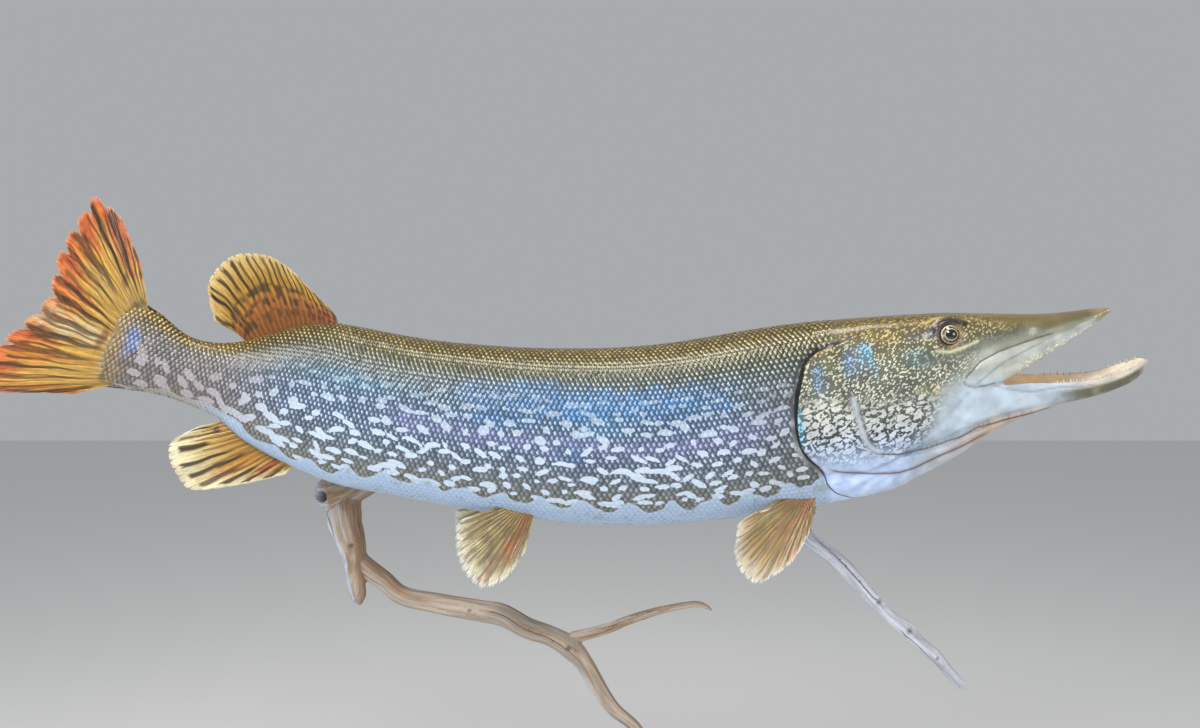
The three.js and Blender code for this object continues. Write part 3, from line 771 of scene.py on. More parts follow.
@dataclass(frozen=True)
class HeadPaint:
    """Painted skin of the head and belly, with specks and worm lines."""

    name: str = "painted_skin"
    gloss: Varnish = Varnish()
    speck_scale: float = 390.0
    worm_scale: float = 142.0

    def material(self) -> Material:
        """Builds it from the mesh's Tint, Mark, Worm, Slit and Folds."""
        shader = Shader(self.name)
        fine = shader.noise(shader.place(), 420, 2)
        wander = shader.rise(shader.noise(shader.place(), 330, 2), 0.2, 0.8, -0.16, 0.16)
        slanted = shader.bent(shader.place((0.68, 1, 1.2), (0, 0.8, 0)), 110, 0.004)
        specks = shader.rise(shader.math("ADD", shader.cells(slanted, self.speck_scale), wander), 0.46, 0.34)
        rising = shader.bent(shader.place((0.5, 1, 1.1), (0, 0.55, 0)), 170, 0.0075)
        edges = shader.math("ADD", shader.cells(rising, self.worm_scale, "DISTANCE_TO_EDGE"), wander)
        lines = shader.math("SUBTRACT", shader.rise(edges, 0.07, 0.15), shader.rise(fine, 0.58, 0.68, 0, 0.7))
        kinds = {0: shader.attribute("Worm", "Fac"), 2: specks, 3: lines}
        pattern = shader.node("ShaderNodeMix", kinds, data_type="FLOAT").outputs[0]
        share = shader.math("MULTIPLY", pattern, shader.attribute("Mark", "Alpha"))
        grime = shader.rise(shader.noise(shader.place(), 60, 4), 0.3, 0.7, 0.82, 1.1)
        colour = shader.shaded(shader.mix(share, shader.attribute("Tint"), shader.attribute("Mark")), grime)
        for fold in shader.node("ShaderNodeSeparateXYZ", {0: shader.attribute("Folds", "Vector")}).outputs:
            colour = shader.lined(colour, fold, 0.7, (0.09, 0.065, 0.06))
        # Painted shade: a black line where the gap under the gill cover's rear edge lies in shadow.
        colour = shader.lined(colour, shader.attribute("Slit", "Fac"), 0.98)
        lumps = shader.noise(shader.place((0.7, 1, 1.2)), 150, 3)
        relief = shader.bump(share, 0.0004, 0.6, shader.bump(lumps, 0.001, 0.45))
        normal = shader.bump(fine, 0.0005, 0.6, relief)
        return shader.varnished(colour, normal, fine, self.gloss)


@dataclass(frozen=True)
class ScalePaint:
    """Painted scales with painted shade at their sides and under the scale ahead, flecks, and pale spots that
    run over many.
    """

    name: str = "painted_scales"
    gloss: Varnish = Varnish(0.38, 0.5, 0.13, (0.08, 0.1))

    def material(self) -> Material:
        """Builds it from the mesh's Tint, Fleck, Pale and Slit, and ScaleUV on each scale."""
        shader = Shader(self.name)
        uv = shader.node("ShaderNodeUVMap", {}, uv_map="ScaleUV").outputs[0]
        x, y, _ = shader.node("ShaderNodeSeparateXYZ", {0: uv}).outputs
        off = shader.math("SUBTRACT", x, 0.5)
        lean = shader.math("MULTIPLY", off, 0.35)
        across = shader.math("POWER", shader.math("DIVIDE", off, 0.21), 2)
        along = shader.math("DIVIDE", shader.math("SUBTRACT", shader.math("SUBTRACT", y, 0.83), lean), 0.105)
        square = shader.math("ADD", across, shader.math("POWER", along, 2))
        grain = shader.noise(shader.place(), 700)
        ragged = shader.math("ADD", square, shader.rise(grain, 0.2, 0.8, -0.5, 0.5))
        dot = shader.math("MULTIPLY", shader.rise(ragged, 1.3, 0.5), shader.attribute("Fleck", "Alpha"))
        # Painted shade: each scale is darker at its sides and at its front, which lies under the scale ahead.
        rim = shader.rise(shader.math("ABSOLUTE", off), 0.2, 0.42, 1, 0.5)
        shade = shader.math("MULTIPLY", rim, shader.rise(y, 0.5, 0.75, 0.5, 1))
        colour = shader.mix(dot, shader.shaded(shader.attribute("Tint"), shade), shader.attribute("Fleck"))
        spot = shader.rise(shader.attribute("Tint", "Alpha"), *Marking.SPOT_EDGE)
        spot = shader.math("MULTIPLY", spot, shader.attribute("Pale", "Alpha"))
        # Painted shade: the pale spots also darken a little at the scales' sides.
        pale_in_shade = shader.shaded(shader.attribute("Pale"), shader.rise(rim, 0.5, 1, 0.86, 1))
        # Painted shade: the scales beside the gill cover's edge get the same black line of shadow.
        colour = shader.lined(shader.mix(spot, colour, pale_in_shade), shader.attribute("Slit", "Fac"), 0.98)
        return shader.varnished(colour, shader.bump(grain, 0.0003, 0.5), grain, self.gloss)


# ---- markings


@dataclass(frozen=True)
class Patch:
    """A soft oval patch of colour on the side, at (s, u) in millimetres."""

    s: float
    u: float
    long: float
    high: float
    colour: Colour
    strength: float = 1.0

    def share(self, s: Array, u: Array) -> Array:
        """Returns how much of the patch each place has."""
        ragged = 0.9 * (cloud(s / 9, u / 9, 31) - 0.5) + 0.5 * (cloud(s / 2.6, u / 2.6, 37) - 0.5)
        away = np.hypot((s - self.s) / self.long, (u - self.u) / self.high) + ragged
        return self.strength * ramp(1.25, 0.3, away)


@dataclass
class Marking:
    """The colours of a set of places: the ground and the marks on it.

    The trunk has pale spots too: their colour, their strength and a field above 0 in them.
    """

    SPOT_EDGE: ClassVar[tuple[float, float]] = (-0.05, 0.07)
    tint: Array
    mark: Array
    amount: Array
    worm: Array | None = None
    pale: Array | None = None
    pale_share: Array | None = None
    spot: Array | None = None

    def spotted(self) -> Array:
        """Returns the ground with the pale spots laid on it."""
        return blend(self.tint, self.pale, self.pale_share * ramp(*self.SPOT_EDGE, self.spot))

    def cover(self, colour: Array | Colour, share: Array, fade: Array | float = 0) -> None:
        """Lays a colour over the ground, and lets the marks on it fade."""
        self.tint = blend(self.tint, colour, share)
        self.amount = self.amount * (1 - fade)

    def lay(self, patches: list[Patch], s: Array, u: Array, depth: float) -> None:
        """Lays patches over the marks, and depth times as strongly over the ground."""
        for patch in patches:
            share = patch.share(s, u)
            self.cover(np.asarray(patch.colour) * 0.9, depth * share)
            self.mark = blend(self.mark, 0.1 + np.asarray(patch.colour) * 1.15, 0.9 * share)


class Pattern:
    """The pike's markings, worked out for any place on it."""

    BLUE: Colour = (0.07, 0.27, 0.62)
    CYAN: Colour = (0.1, 0.5, 0.8)
    VIOLET: Colour = (0.3, 0.3, 0.55)
    # The belly's white, tinted blue by painted cool window light.
    BLUE_LIT_BELLY: Colour = (0.41, 0.54, 0.74)
    SPOT: Colour = (0.63, 0.74, 0.89)
    TAIL: Colour = (0.225, 0.19, 0.175)
    TAIL_SPOT: Colour = (0.47, 0.42, 0.45)
    TRUNK_GROUND = Curve([
        (0, 0.115, 0.08, 0.016), (0.1, 0.115, 0.085, 0.02), (0.2, 0.085, 0.073, 0.03),
        (0.28, 0.07, 0.082, 0.055), (0.38, 0.085, 0.13, 0.17), (0.5, 0.11, 0.17, 0.27),
        (0.62, 0.145, 0.175, 0.225), (0.7, 0.19, 0.205, 0.2), (0.78, 0.21, 0.22, 0.195),
        (1, 0.35, 0.44, 0.55),
    ])  # share of the way from back to belly, then the colour
    # The brightest gold marks, from 0.12 to 0.2, are partly the scales' gold flecks and partly a painted
    # highlight for the gold glint band along the upper back.
    TRUNK_MARK = Curve([
        (0, 0.46, 0.33, 0.08), (0.12, 0.62, 0.47, 0.16), (0.2, 0.7, 0.57, 0.26), (0.27, 0.46, 0.44, 0.31),
        (0.33, 0.46, 0.5, 0.46), (0.42, 0.52, 0.64, 0.8), (0.6, 0.6, 0.7, 0.84), (1, 0.7, 0.78, 0.88),
    ])
    # Painted sheen: blue and violet patches that stand for the blue sheen of window light on the glossy
    # flank; the last one is a painted blue highlight at the root of the tail.
    TRUNK_BLUE_SHEEN = [
        Patch(600, 38, 90, 20, BLUE, 0.6), Patch(505, 34, 75, 20, BLUE, 0.7),
        Patch(430, 36, 55, 20, BLUE, 0.5), Patch(528, 12, 34, 16, CYAN, 0.25),
        Patch(632, 14, 50, 12, BLUE, 0.4), Patch(548, 24, 26, 12, BLUE, 0.5),
        Patch(735, 6, 40, 12, VIOLET, 0.4), Patch(690, -4, 60, 12, VIOLET, 0.6),
        Patch(585, -8, 80, 14, VIOLET, 0.6), Patch(480, -12, 70, 15, VIOLET, 0.6),
        Patch(405, -8, 60, 16, VIOLET, 0.5), Patch(345, 4, 40, 14, VIOLET, 0.3),
        Patch(558, -18, 18, 12, BLUE, 0.45), Patch(800, 30, 70, 12, CYAN, 0.2),
        Patch(1034, 4, 8, 15, (0.1, 0.3, 0.8), 0.95),
    ]
    # The blue, cyan and teal patches on the gill cover and behind the eye are a painted blue sheen, as on the
    # flank.
    HEAD_PATCHES = [
        Patch(237, 66, 9, 13, CYAN, 0.95), Patch(254, 58, 13, 19, BLUE, 0.8),
        Patch(232, 47, 12, 12, BLUE, 0.5), Patch(290, 41, 10, 17, BLUE, 0.8),
        Patch(183, 76, 17, 8, (0.1, 0.11, 0.24), 0.75), Patch(170, 79, 5, 5, (0.12, 0.25, 0.75), 0.6),
        Patch(186, 55, 17, 12, (0.1, 0.34, 0.44), 0.6), Patch(316, 0, 5, 34, CYAN, 0.7),
        Patch(292, 70, 16, 6, (0.55, 0.34, 0.05), 0.7), Patch(225, 78, 20, 6, (0.5, 0.36, 0.08), 0.5),
        Patch(168, 22, 26, 7, (0.62, 0.52, 0.2), 0.55),
    ]
    BELLY_LINE = Curve([
        (300, 0.7), (388, 0.745), (470, 0.755), (596, 0.75), (698, 0.745), (750, 0.745), (839, 0.8),
        (883, 0.79), (913, 0.75), (960, 0.78), (1052, 0.9),
    ])  # s, share of the way to the belly where the white begins
    SPOT_ROW = 9.4
    SPOT_STEP = 19.5
    SPOTS_FROM = 0.37
    SPOTS_ALONG = (312, 1030)

    @staticmethod
    def turn(s: Array, u: Array, w: Array) -> Array:
        """Returns how far round the trunk places lie, from 0 on the back to 1 on the belly."""
        top, bottom, half = Fish.TRUNK(s).T
        power = Fish.FLATNESS / 2
        lift = np.sign(u) * (np.abs(u) / np.where(u > 0, top, bottom)) ** power
        return np.arctan2((np.abs(w) / half) ** power, lift) / math.pi

    @classmethod
    def spots(cls, s: Array, turn: Array, side: Array) -> Array:
        """Works out the pale spots.

        Args:
            s: Distance behind the snout.
            turn: Share of the way from back to belly.
            side: 1 on the right and -1 on the left, which has spots of its own.

        Returns:
            A number for each place that rises above 0 in a spot.
        """
        inside = np.full(s.shape, -0.5)
        ragged = 0.5 * (cloud(s / 6.5, turn * 34, 11) - 0.5)
        random = np.random.default_rng(SEED)
        at, column = cls.SPOTS_ALONG[0], 0
        while at < cls.SPOTS_ALONG[1]:
            half_girth = Fish.trunk_ring(at, np.array([0]))[2]
            reach = cls.BELLY_LINE(at)[0] - 0.01 - cls.SPOTS_FROM
            tail = ramp(820, 900, at)
            rows = max(2, round(reach * half_girth / cls.SPOT_ROW))
            for row in range(column % 2, rows, 2):
                for hand in (RIGHT, LEFT):
                    jitter = random.normal(0, 1, 5)
                    low = (row + 0.5 + 0.2 * jitter[0]) / rows
                    long = (5.4 + 1.9 * low + 2.1 * jitter[1]) * (1 + 0.05 * tail)
                    high = 1.9 + 1.2 * low**2 + 0.45 * jitter[2] + 0.3 * tail
                    tilt = math.radians((5 + 16 * low) * jitter[3] - 14 * tail + 38 * ramp(930, 1000, at))
                    middle = at + 3.6 * jitter[4]
                    near = (np.abs(s - middle) < 20) & (side == hand)
                    x = s[near] - middle
                    y = (turn[near] - cls.SPOTS_FROM - reach * low) * half_girth - 0.007 * jitter[1] * x * x
                    along = x * math.cos(tilt) - y * math.sin(tilt)
                    across = x * math.sin(tilt) + y * math.cos(tilt)
                    away = np.hypot(along / max(long, 3.2), across / max(high, 1.7)) + ragged[near]
                    inside[near] = np.maximum(inside[near], 1.04 - away)
            at += cls.SPOT_STEP * 0.5 * (1 + 0.06 * random.normal())
            column += 1
        return inside

    @classmethod
    def trunk(cls, s: Array, u: Array, w: Array) -> Marking:
        """Works out the colours of places on the trunk and tail stalk.

        Args:
            s: Places behind the snout, in millimetres.
            u: Heights over the middle line.
            w: Places right of the middle.

        Returns:
            The ground and marks of each place.
        """
        turn, side = cls.turn(s, u, w), np.where(w >= 0, RIGHT, LEFT)
        rough = cloud(s / 14, turn * 18, 3)
        plain = ramp(410, 330, s) * ramp(0.3, 0.4, turn)
        tail = ramp(840, 960, s)
        amount = 0.55 + 0.4 * ramp(0.08, 0.2, turn) - 0.8 * ramp(0.48, 0.7, turn)
        amount = amount * (1 - 0.45 * plain) * (0.7 + 0.6 * cloud(s / 30, turn * 9, 17))
        amount = np.clip(amount * (1 - 0.45 * tail * ramp(0.25, 0.4, turn)), 0, 1)
        mark = cls.TRUNK_MARK(np.clip(turn + 0.04 * (rough - 0.5), 0, 1))
        ground = cls.TRUNK_GROUND(turn) * (0.8 + 0.4 * rough)[:, None]
        marking = Marking(ground, blend(mark, (0.5, 0.44, 0.36), 0.8 * tail), amount)
        marking.cover((0.135, 0.135, 0.125), 0.7 * plain)
        marking.cover(cls.TAIL, 0.8 * tail * ramp(0.2, 0.35, turn))
        marking.lay(cls.TRUNK_BLUE_SHEEN, s, u, 0.75)
        gold = ramp(880, 960, s) * ramp(0.36, 0.2, turn)
        root = ramp(1022, 1052, s + 16 * (rough - 0.5))
        marking.cover((0.2, 0.13, 0.025), 0.7 * gold)
        marking.cover((0.36, 0.25, 0.1), 0.8 * root, 0.6 * root)
        marking.mark = blend(blend(marking.mark, (0.74, 0.54, 0.18), gold), (0.7, 0.5, 0.2), root)
        below = turn - cls.BELLY_LINE(s)[:, 0]
        scallop = 0.022 * np.sin(s / 6.5) + 0.05 * (cloud(s / 9, turn * 4 + side, 23) - 0.5)
        white = ramp(-0.03, 0.03, below + scallop)
        flecked = ramp(0.66, 0.74, cloud(s / 6, turn * 30 + 9 * side, 41)) * ramp(0.16, 0.02, below)
        belly = blend(cls.BLUE_LIT_BELLY, (0.4, 0.35, 0.31), ramp(900, 975, s))
        belly = blend(belly, (0.3, 0.34, 0.32), 0.75 * flecked)
        marking.pale = blend(blend(cls.SPOT, cls.TAIL_SPOT, np.maximum(tail, 0.5 * plain)), belly, white)
        strong = 0.25 + 0.7 * ramp(cls.SPOTS_FROM, 0.58, turn) - 0.15 * tail
        marking.pale_share = np.maximum(strong * ramp(1056, 1020, s), white)
        marking.spot = np.maximum(cls.spots(s, turn, side), np.clip(12 * (below + scallop), -0.5, 1))
        behind = s - cls.gill_edge(u)
        shadow = ramp(10, 2, behind) * ramp(-70, -48, u) * ramp(82, 76, u)
        fold = bell(behind - 5.5, 2.2) * ramp(-4, -20, u) * ramp(-90, -70, u)
        marking.cover((0.56, 0.58, 0.58), 0.8 * fold)
        marking.cover(BLACK, 0.5 * shadow, shadow)
        marking.pale = blend(marking.pale, BLACK, 0.5 * shadow)
        return marking

    @staticmethod
    def gill_edge(u: Array) -> Array:
        """Returns s of the gill cover's free rear edge at each height."""
        return GillCover.EDGE(-u)[..., 1]

    @classmethod
    def slit_shade(cls, s: Array, u: Array) -> Array:
        """Returns a number between -1 and 1 in the black line of painted shade along the gap behind the gill
        cover.
        """
        depth = np.linspace(-77, 88, 34)
        away, _ = distance_to_line(s, u, list(zip(GillCover.EDGE(depth)[:, 1], -depth)))
        half = 0.7 + 0.7 * ramp(-58, -40, u) + 1.3 * ramp(-20, 30, u) - 0.7 * ramp(45, 70, u)
        return np.clip((np.where(s > cls.gill_edge(u), away, -away) - 0.5) / half, -FAR, FAR)

    SNOUT_GROUND = Curve([
        (0, 0.19, 0.125, 0.026), (0.12, 0.135, 0.105, 0.028), (0.3, 0.145, 0.14, 0.085),
        (0.46, 0.25, 0.26, 0.21), (0.62, 0.46, 0.49, 0.45), (0.8, 0.47, 0.49, 0.44), (1, 0.42, 0.37, 0.26),
    ])  # share of the way from the crown to the lip, then the colour
    CHEEK_GROUND = Curve([
        (-100, 0.49, 0.6, 0.88), (-58, 0.48, 0.6, 0.86), (-44, 0.34, 0.43, 0.58), (-26, 0.085, 0.1, 0.115),
        (0, 0.09, 0.1, 0.09), (25, 0.115, 0.125, 0.1), (55, 0.115, 0.12, 0.08), (80, 0.11, 0.092, 0.034),
        (102, 0.075, 0.052, 0.01),
    ])  # height above the middle line, then the colour
    CHEEK_MARK = Curve([
        (-60, 0.52, 0.64, 0.84), (-35, 0.52, 0.62, 0.8), (-5, 0.62, 0.65, 0.64), (20, 0.66, 0.66, 0.58),
        (50, 0.66, 0.64, 0.49), (80, 0.58, 0.48, 0.25), (90, 0.4, 0.28, 0.08), (102, 0.18, 0.12, 0.028),
    ])  # height, then the colour of the marks
    LIP_MARK: Colour = (0.86, 0.82, 0.66)

    @classmethod
    def head(cls, s: Array, u: Array, w: Array, mouth: Array) -> Marking:
        """Works out the colours of places on the head, jaw and throat.

        Args:
            s: Distance behind the snout.
            u: Height above the middle line.
            w: Distance out to the right.
            mouth: 1 inside the mouth and 0 outside.

        Returns:
            The marking.
        """
        crown, lip = Fish.HEAD(s)[:, [0, 6]].T
        down = np.clip((crown - u) / np.maximum(crown - lip, 3), 0, 1)
        rough = cloud(s / 11, u / 11, 3)
        streaks = cloud(s / 24, down * 8, 7)
        snout = cls.SNOUT_GROUND(np.clip(down + 0.12 * (streaks - 0.5), 0, 1))
        snout = blend(snout * (0.75 + 0.5 * streaks)[:, None], (0.36, 0.25, 0.11), 0.8 * ramp(18, 0, s))
        back = ramp(112, 160, s + 0.5 * (u - 40) + 14 * (rough - 0.5))
        pale = ramp(192, 150, s + 0.5 * u + 16 * (rough - 0.5)) * ramp(36, 18, u + 10 * (rough - 0.5))
        pale = pale * ramp(96, 110, s)
        tint = blend(blend(snout, cls.CHEEK_GROUND(u), back), (0.52, 0.62, 0.72), pale)
        mark = blend(cls.CHEEK_MARK(u), cls.LIP_MARK, ramp(100, 60, s) * ramp(0.6, 0.8, down))
        forehead = bell(s - 118, 26) * ramp(0.06, 0.14, down) * ramp(0.42, 0.3, down)
        rim = 0.75 * ramp(0.72, 0.84, down + 0.1 * (streaks - 0.5)) * ramp(120, 70, s)
        amount = np.clip(back * (1 - 0.85 * pale) * ramp(-60, -42, u), 0, 1)
        amount = np.maximum(amount, np.maximum(0.8 * forehead, rim))
        worm = ramp(26, 4, u + 26 * (cloud(s / 16, u / 16, 13) - 0.5))
        marking = Marking(tint * (0.8 + 0.4 * rough)[:, None], mark, amount, worm)
        marking.lay(cls.HEAD_PATCHES, s, u, 0.22)
        cls.lower_jaw(marking, s, u)
        under = ramp(0, -5, HeadLines.JAW_FOLD.above(s, u)) * ramp(205, 120, s)
        marking.cover((0.56, 0.4, 0.3), 0.75 * under * ramp(20, 60, s))
        cls.eyelids(marking, s, u)
        cls.head_lines(marking, s, u, w)
        tan = blend((1, 0.86, 0.64), (0.96, 0.72, 0.47), cloud(s / 8, w / 6, 51))
        lining = blend(tan, (0.3, 0.13, 0.08), ramp(105, 165, s))
        marking.cover(blend(lining, (0.74, 0.66, 0.54), ramp(60, 0, s)), mouth, mouth)
        return marking

    @staticmethod
    def eyelids(marking: Marking, s: Array, u: Array) -> None:
        """Paints the brown folds round the eyes, which turn gold in front."""
        away, rings = Skin.eye_rings(s, u)
        folds = ramp(15.5, 11.5, away + 3 * (cloud(s / 3, u / 3, 19) - 0.5))
        brown = blend((0.3, 0.2, 0.11), (0.07, 0.05, 0.04), ramp(144, 156, s + 0.4 * (u - 74)))
        marking.cover(brown * (1 + 0.45 * rings)[:, None], 0.8 * folds, folds)

    @staticmethod
    def lower_jaw(marking: Marking, s: Array, u: Array) -> None:
        """Paints the jaw's outside white with a dark band along its front."""
        lip, base = Fish.JAW(s)[:, [1, 4]].T
        below = np.clip((lip - u) / np.maximum(lip - base, 3), 0, 1)
        rough = cloud(s / 7, u / 7, 71)
        colours = blend((0.52, 0.61, 0.7), (0.55, 0.51, 0.44), ramp(60, 10, s))
        colours = blend(colours, (0.58, 0.48, 0.42), ramp(0.75, 1, below))
        band = ramp(66, 24, s + 16 * (rough - 0.5)) * ramp(0.24, 0.42, below) * ramp(1.05, 0.8, below)
        olive = blend((0.085, 0.082, 0.038), (0.27, 0.25, 0.14), ramp(0.5, 0.9, rough))
        colours = blend(colours, olive, 0.9 * band)
        colours = blend(colours, (0.68, 0.58, 0.48), 0.7 * ramp(-24, -36, s))
        share = (u < lip + 1) * ramp(150, 125, s)
        marking.cover(colours, share, share)

    @staticmethod
    def head_lines(marking: Marking, s: Array, u: Array, w: Array) -> None:
        """Paints the lines along the folds, plates and edges of the head."""
        outside = ramp(0, 3, np.abs(w) - np.where(u > 78, 21, 4.5))
        for line in HeadLines.ALL:
            away, along = distance_to_line(s, u, line.route)
            share = line.strength * bell(away, line.width) * outside
            share = share * taper(along, 0.06) if line.fades else share
            marking.cover(line.colour, share, np.minimum(1, 1.3 * share))


@dataclass(frozen=True)
class HeadLine:
    """A fold, ridge or edge along the side of the head, by its corners (s, u).

    A positive depth is a groove, and a step lowers what lies below the line.
    """

    route: list[tuple[float, float]]
    colour: Colour
    width: float
    strength: float
    depth: float = 0.0
    step: float = 0.0
    fades: bool = True

    def above(self, s: Array, u: Array) -> Array:
        """Returns how high each place lies above the line."""
        return u - np.interp(s, *np.array(sorted(self.route), float).T)

    def fold(self, s: Array, u: Array) -> Array:
        """Returns a number between -1 and 1 in the fold, which thins out at its ends."""
        away, along = distance_to_line(s, u, self.route)
        away = np.where(self.above(s, u) > 0, away, -away)
        return np.clip(away / (0.62 * taper(along, 0.08) + 0.01), -FAR, FAR)


class HeadLines:
    """The lines of the head."""

    JAW_FOLD = HeadLine(
        [(246, -34), (238, -39.6), (211, -43), (185, -40), (154, -33), (133, -25), (102, -19), (52, -13)],
        (0.22, 0.15, 0.13), 1.7, 0.7, 1.2, 1,
    )
    MEMBRANE_FOLD = HeadLine(
        [(292, -51), (280, -55), (247, -60), (217, -63), (201, -60), (175, -50), (149, -42), (120, -30)],
        (0.24, 0.14, 0.1), 1.6, 0.75, 1.2, 1.2,
    )
    CHEEK_RIDGE = HeadLine(
        [(257, 24), (256, 16), (254, 4), (251, -14), (247, -27), (240, -36), (231, -40)],
        (0.66, 0.72, 0.84), 3.2, 0.66, -0.8,
    )
    RIDGE_SHADOW = HeadLine(
        [(253, 20), (250, 4), (247, -14), (243, -26), (236, -34)],
        (0.08, 0.075, 0.06), 1.1, 0.6, 0.7,
    )
    LIP_FOLD = HeadLine(
        [(118, 20), (108, 15), (89, 9), (75, 7), (51, 8.5), (33, 6), (14, 7)],
        (0.28, 0.26, 0.24), 0.9, 0.6, 0.8,
    )
    MAXILLA_TOP = HeadLine(
        [(144, 27), (139, 32), (126, 44), (106, 52), (77, 59), (50, 64.5)],
        (0.1, 0.1, 0.09), 0.9, 0.75, 0.5,
    )
    MAXILLA_INSIDE = HeadLine(
        [(136, 21), (130, 22.5), (118, 31), (102, 41), (80, 50), (60, 57)],
        (0.2, 0.19, 0.15), 0.9, 0.6, 0.6,
    )
    MAXILLA_FOOT = HeadLine(
        [(112, 21), (123, 19), (134, 18.5), (142, 22), (145, 27)],
        (0.08, 0.07, 0.06), 0.9, 0.8, 0.8,
    )
    JAW_RIM = HeadLine(
        [(-4, 74), (9, 66), (26, 58), (47, 48.5), (67, 38.5), (85, 28), (107, 20)],
        (0.46, 0.36, 0.18), 1.6, 0.5, 0, 0, False,
    )
    BROW = HeadLine(
        [(169, 76), (165, 82), (158, 86.5), (149, 87.8), (141, 85.5), (132, 82)],
        (0.02, 0.012, 0.018), 3.2, 0.98, -1,
    )
    # Painted highlight: a gold line along the ridge above the dark brow.
    BROW_RIDGE_HIGHLIGHT = HeadLine(
        [(176, 86), (165, 91), (150, 93), (130, 90.5), (112, 87)], (0.62, 0.46, 0.16), 1.7, 0.7, -0.9,
    )
    # Painted highlight: a pale gold line along the bone under the eye.
    EYE_BONE_HIGHLIGHT = HeadLine([(170, 60), (154, 57), (139, 60), (123, 65)], (0.72, 0.68, 0.44), 1.5, 0.75, -0.8)
    EYE_HOLLOW = HeadLine(
        [(190, 50), (166, 50), (146, 54), (126, 60), (100, 66), (66, 70)], (0.12, 0.14, 0.12), 6, 0.6, 0.5,
    )
    ALL = [
        EYE_HOLLOW, JAW_FOLD, MEMBRANE_FOLD, CHEEK_RIDGE, RIDGE_SHADOW, LIP_FOLD, MAXILLA_TOP, MAXILLA_INSIDE,
        MAXILLA_FOOT, JAW_RIM, EYE_BONE_HIGHLIGHT, BROW_RIDGE_HIGHLIGHT, BROW,
    ]


# ---- skin


class GillCover:
    """The plate over the gills with its membrane and its free rear edge."""

    EDGE = Curve([
        (-77, 262, 264), (-73, 257, 283), (-66, 255, 296), (-44, 254, 309), (-4, 254, 319), (14, 252, 319),
        (28, 249, 316), (41, 244, 307), (50, 240, 298), (57, 238, 294), (68, 236, 291), (80, 234, 281),
        (88, 232, 266),
    ])  # depth below the middle line, then s of the front and of the rear edge
    LIFT = 2.6
    SUNK = -7
    ROWS = 84
    COLUMNS = 40

    @classmethod
    def shell(cls, side: int) -> Item:
        """Makes a closed plate on one side, sunk into the head at its front.

        Args:
            side: RIGHT or LEFT.

        Returns:
            The plate as an object.
        """
        low, high = cls.EDGE.t[0], cls.EDGE.t[-1]
        depth = (low + high) / 2 - (high - low) / 2 * np.cos(np.linspace(0, math.pi, cls.ROWS))
        front, rear = cls.EDGE(depth).T[..., None]
        s = front + (rear - front) * np.sin(np.linspace(0, math.pi / 2, cls.COLUMNS))
        u = np.repeat(-depth[:, None], cls.COLUMNS, axis=1)
        width = Fish.side_at(s, u)
        lift = cls.LIFT * ramp(0, 26, s - front) - 1.1 * ramp(3, 0, rear - s)
        lift = lift * ramp(0, 0.08, np.linspace(0, 1, cls.ROWS))[:, None]
        crease = 0.5 * bell(u + 50, 2) * ramp(255, 275, s)
        outer = Fish.place(s, u, side * (width + lift - crease))
        inner = Fish.place(s, u, side * np.maximum(width + cls.SUNK, 1))
        return plate(f"gill_shell_{side}", outer, inner)


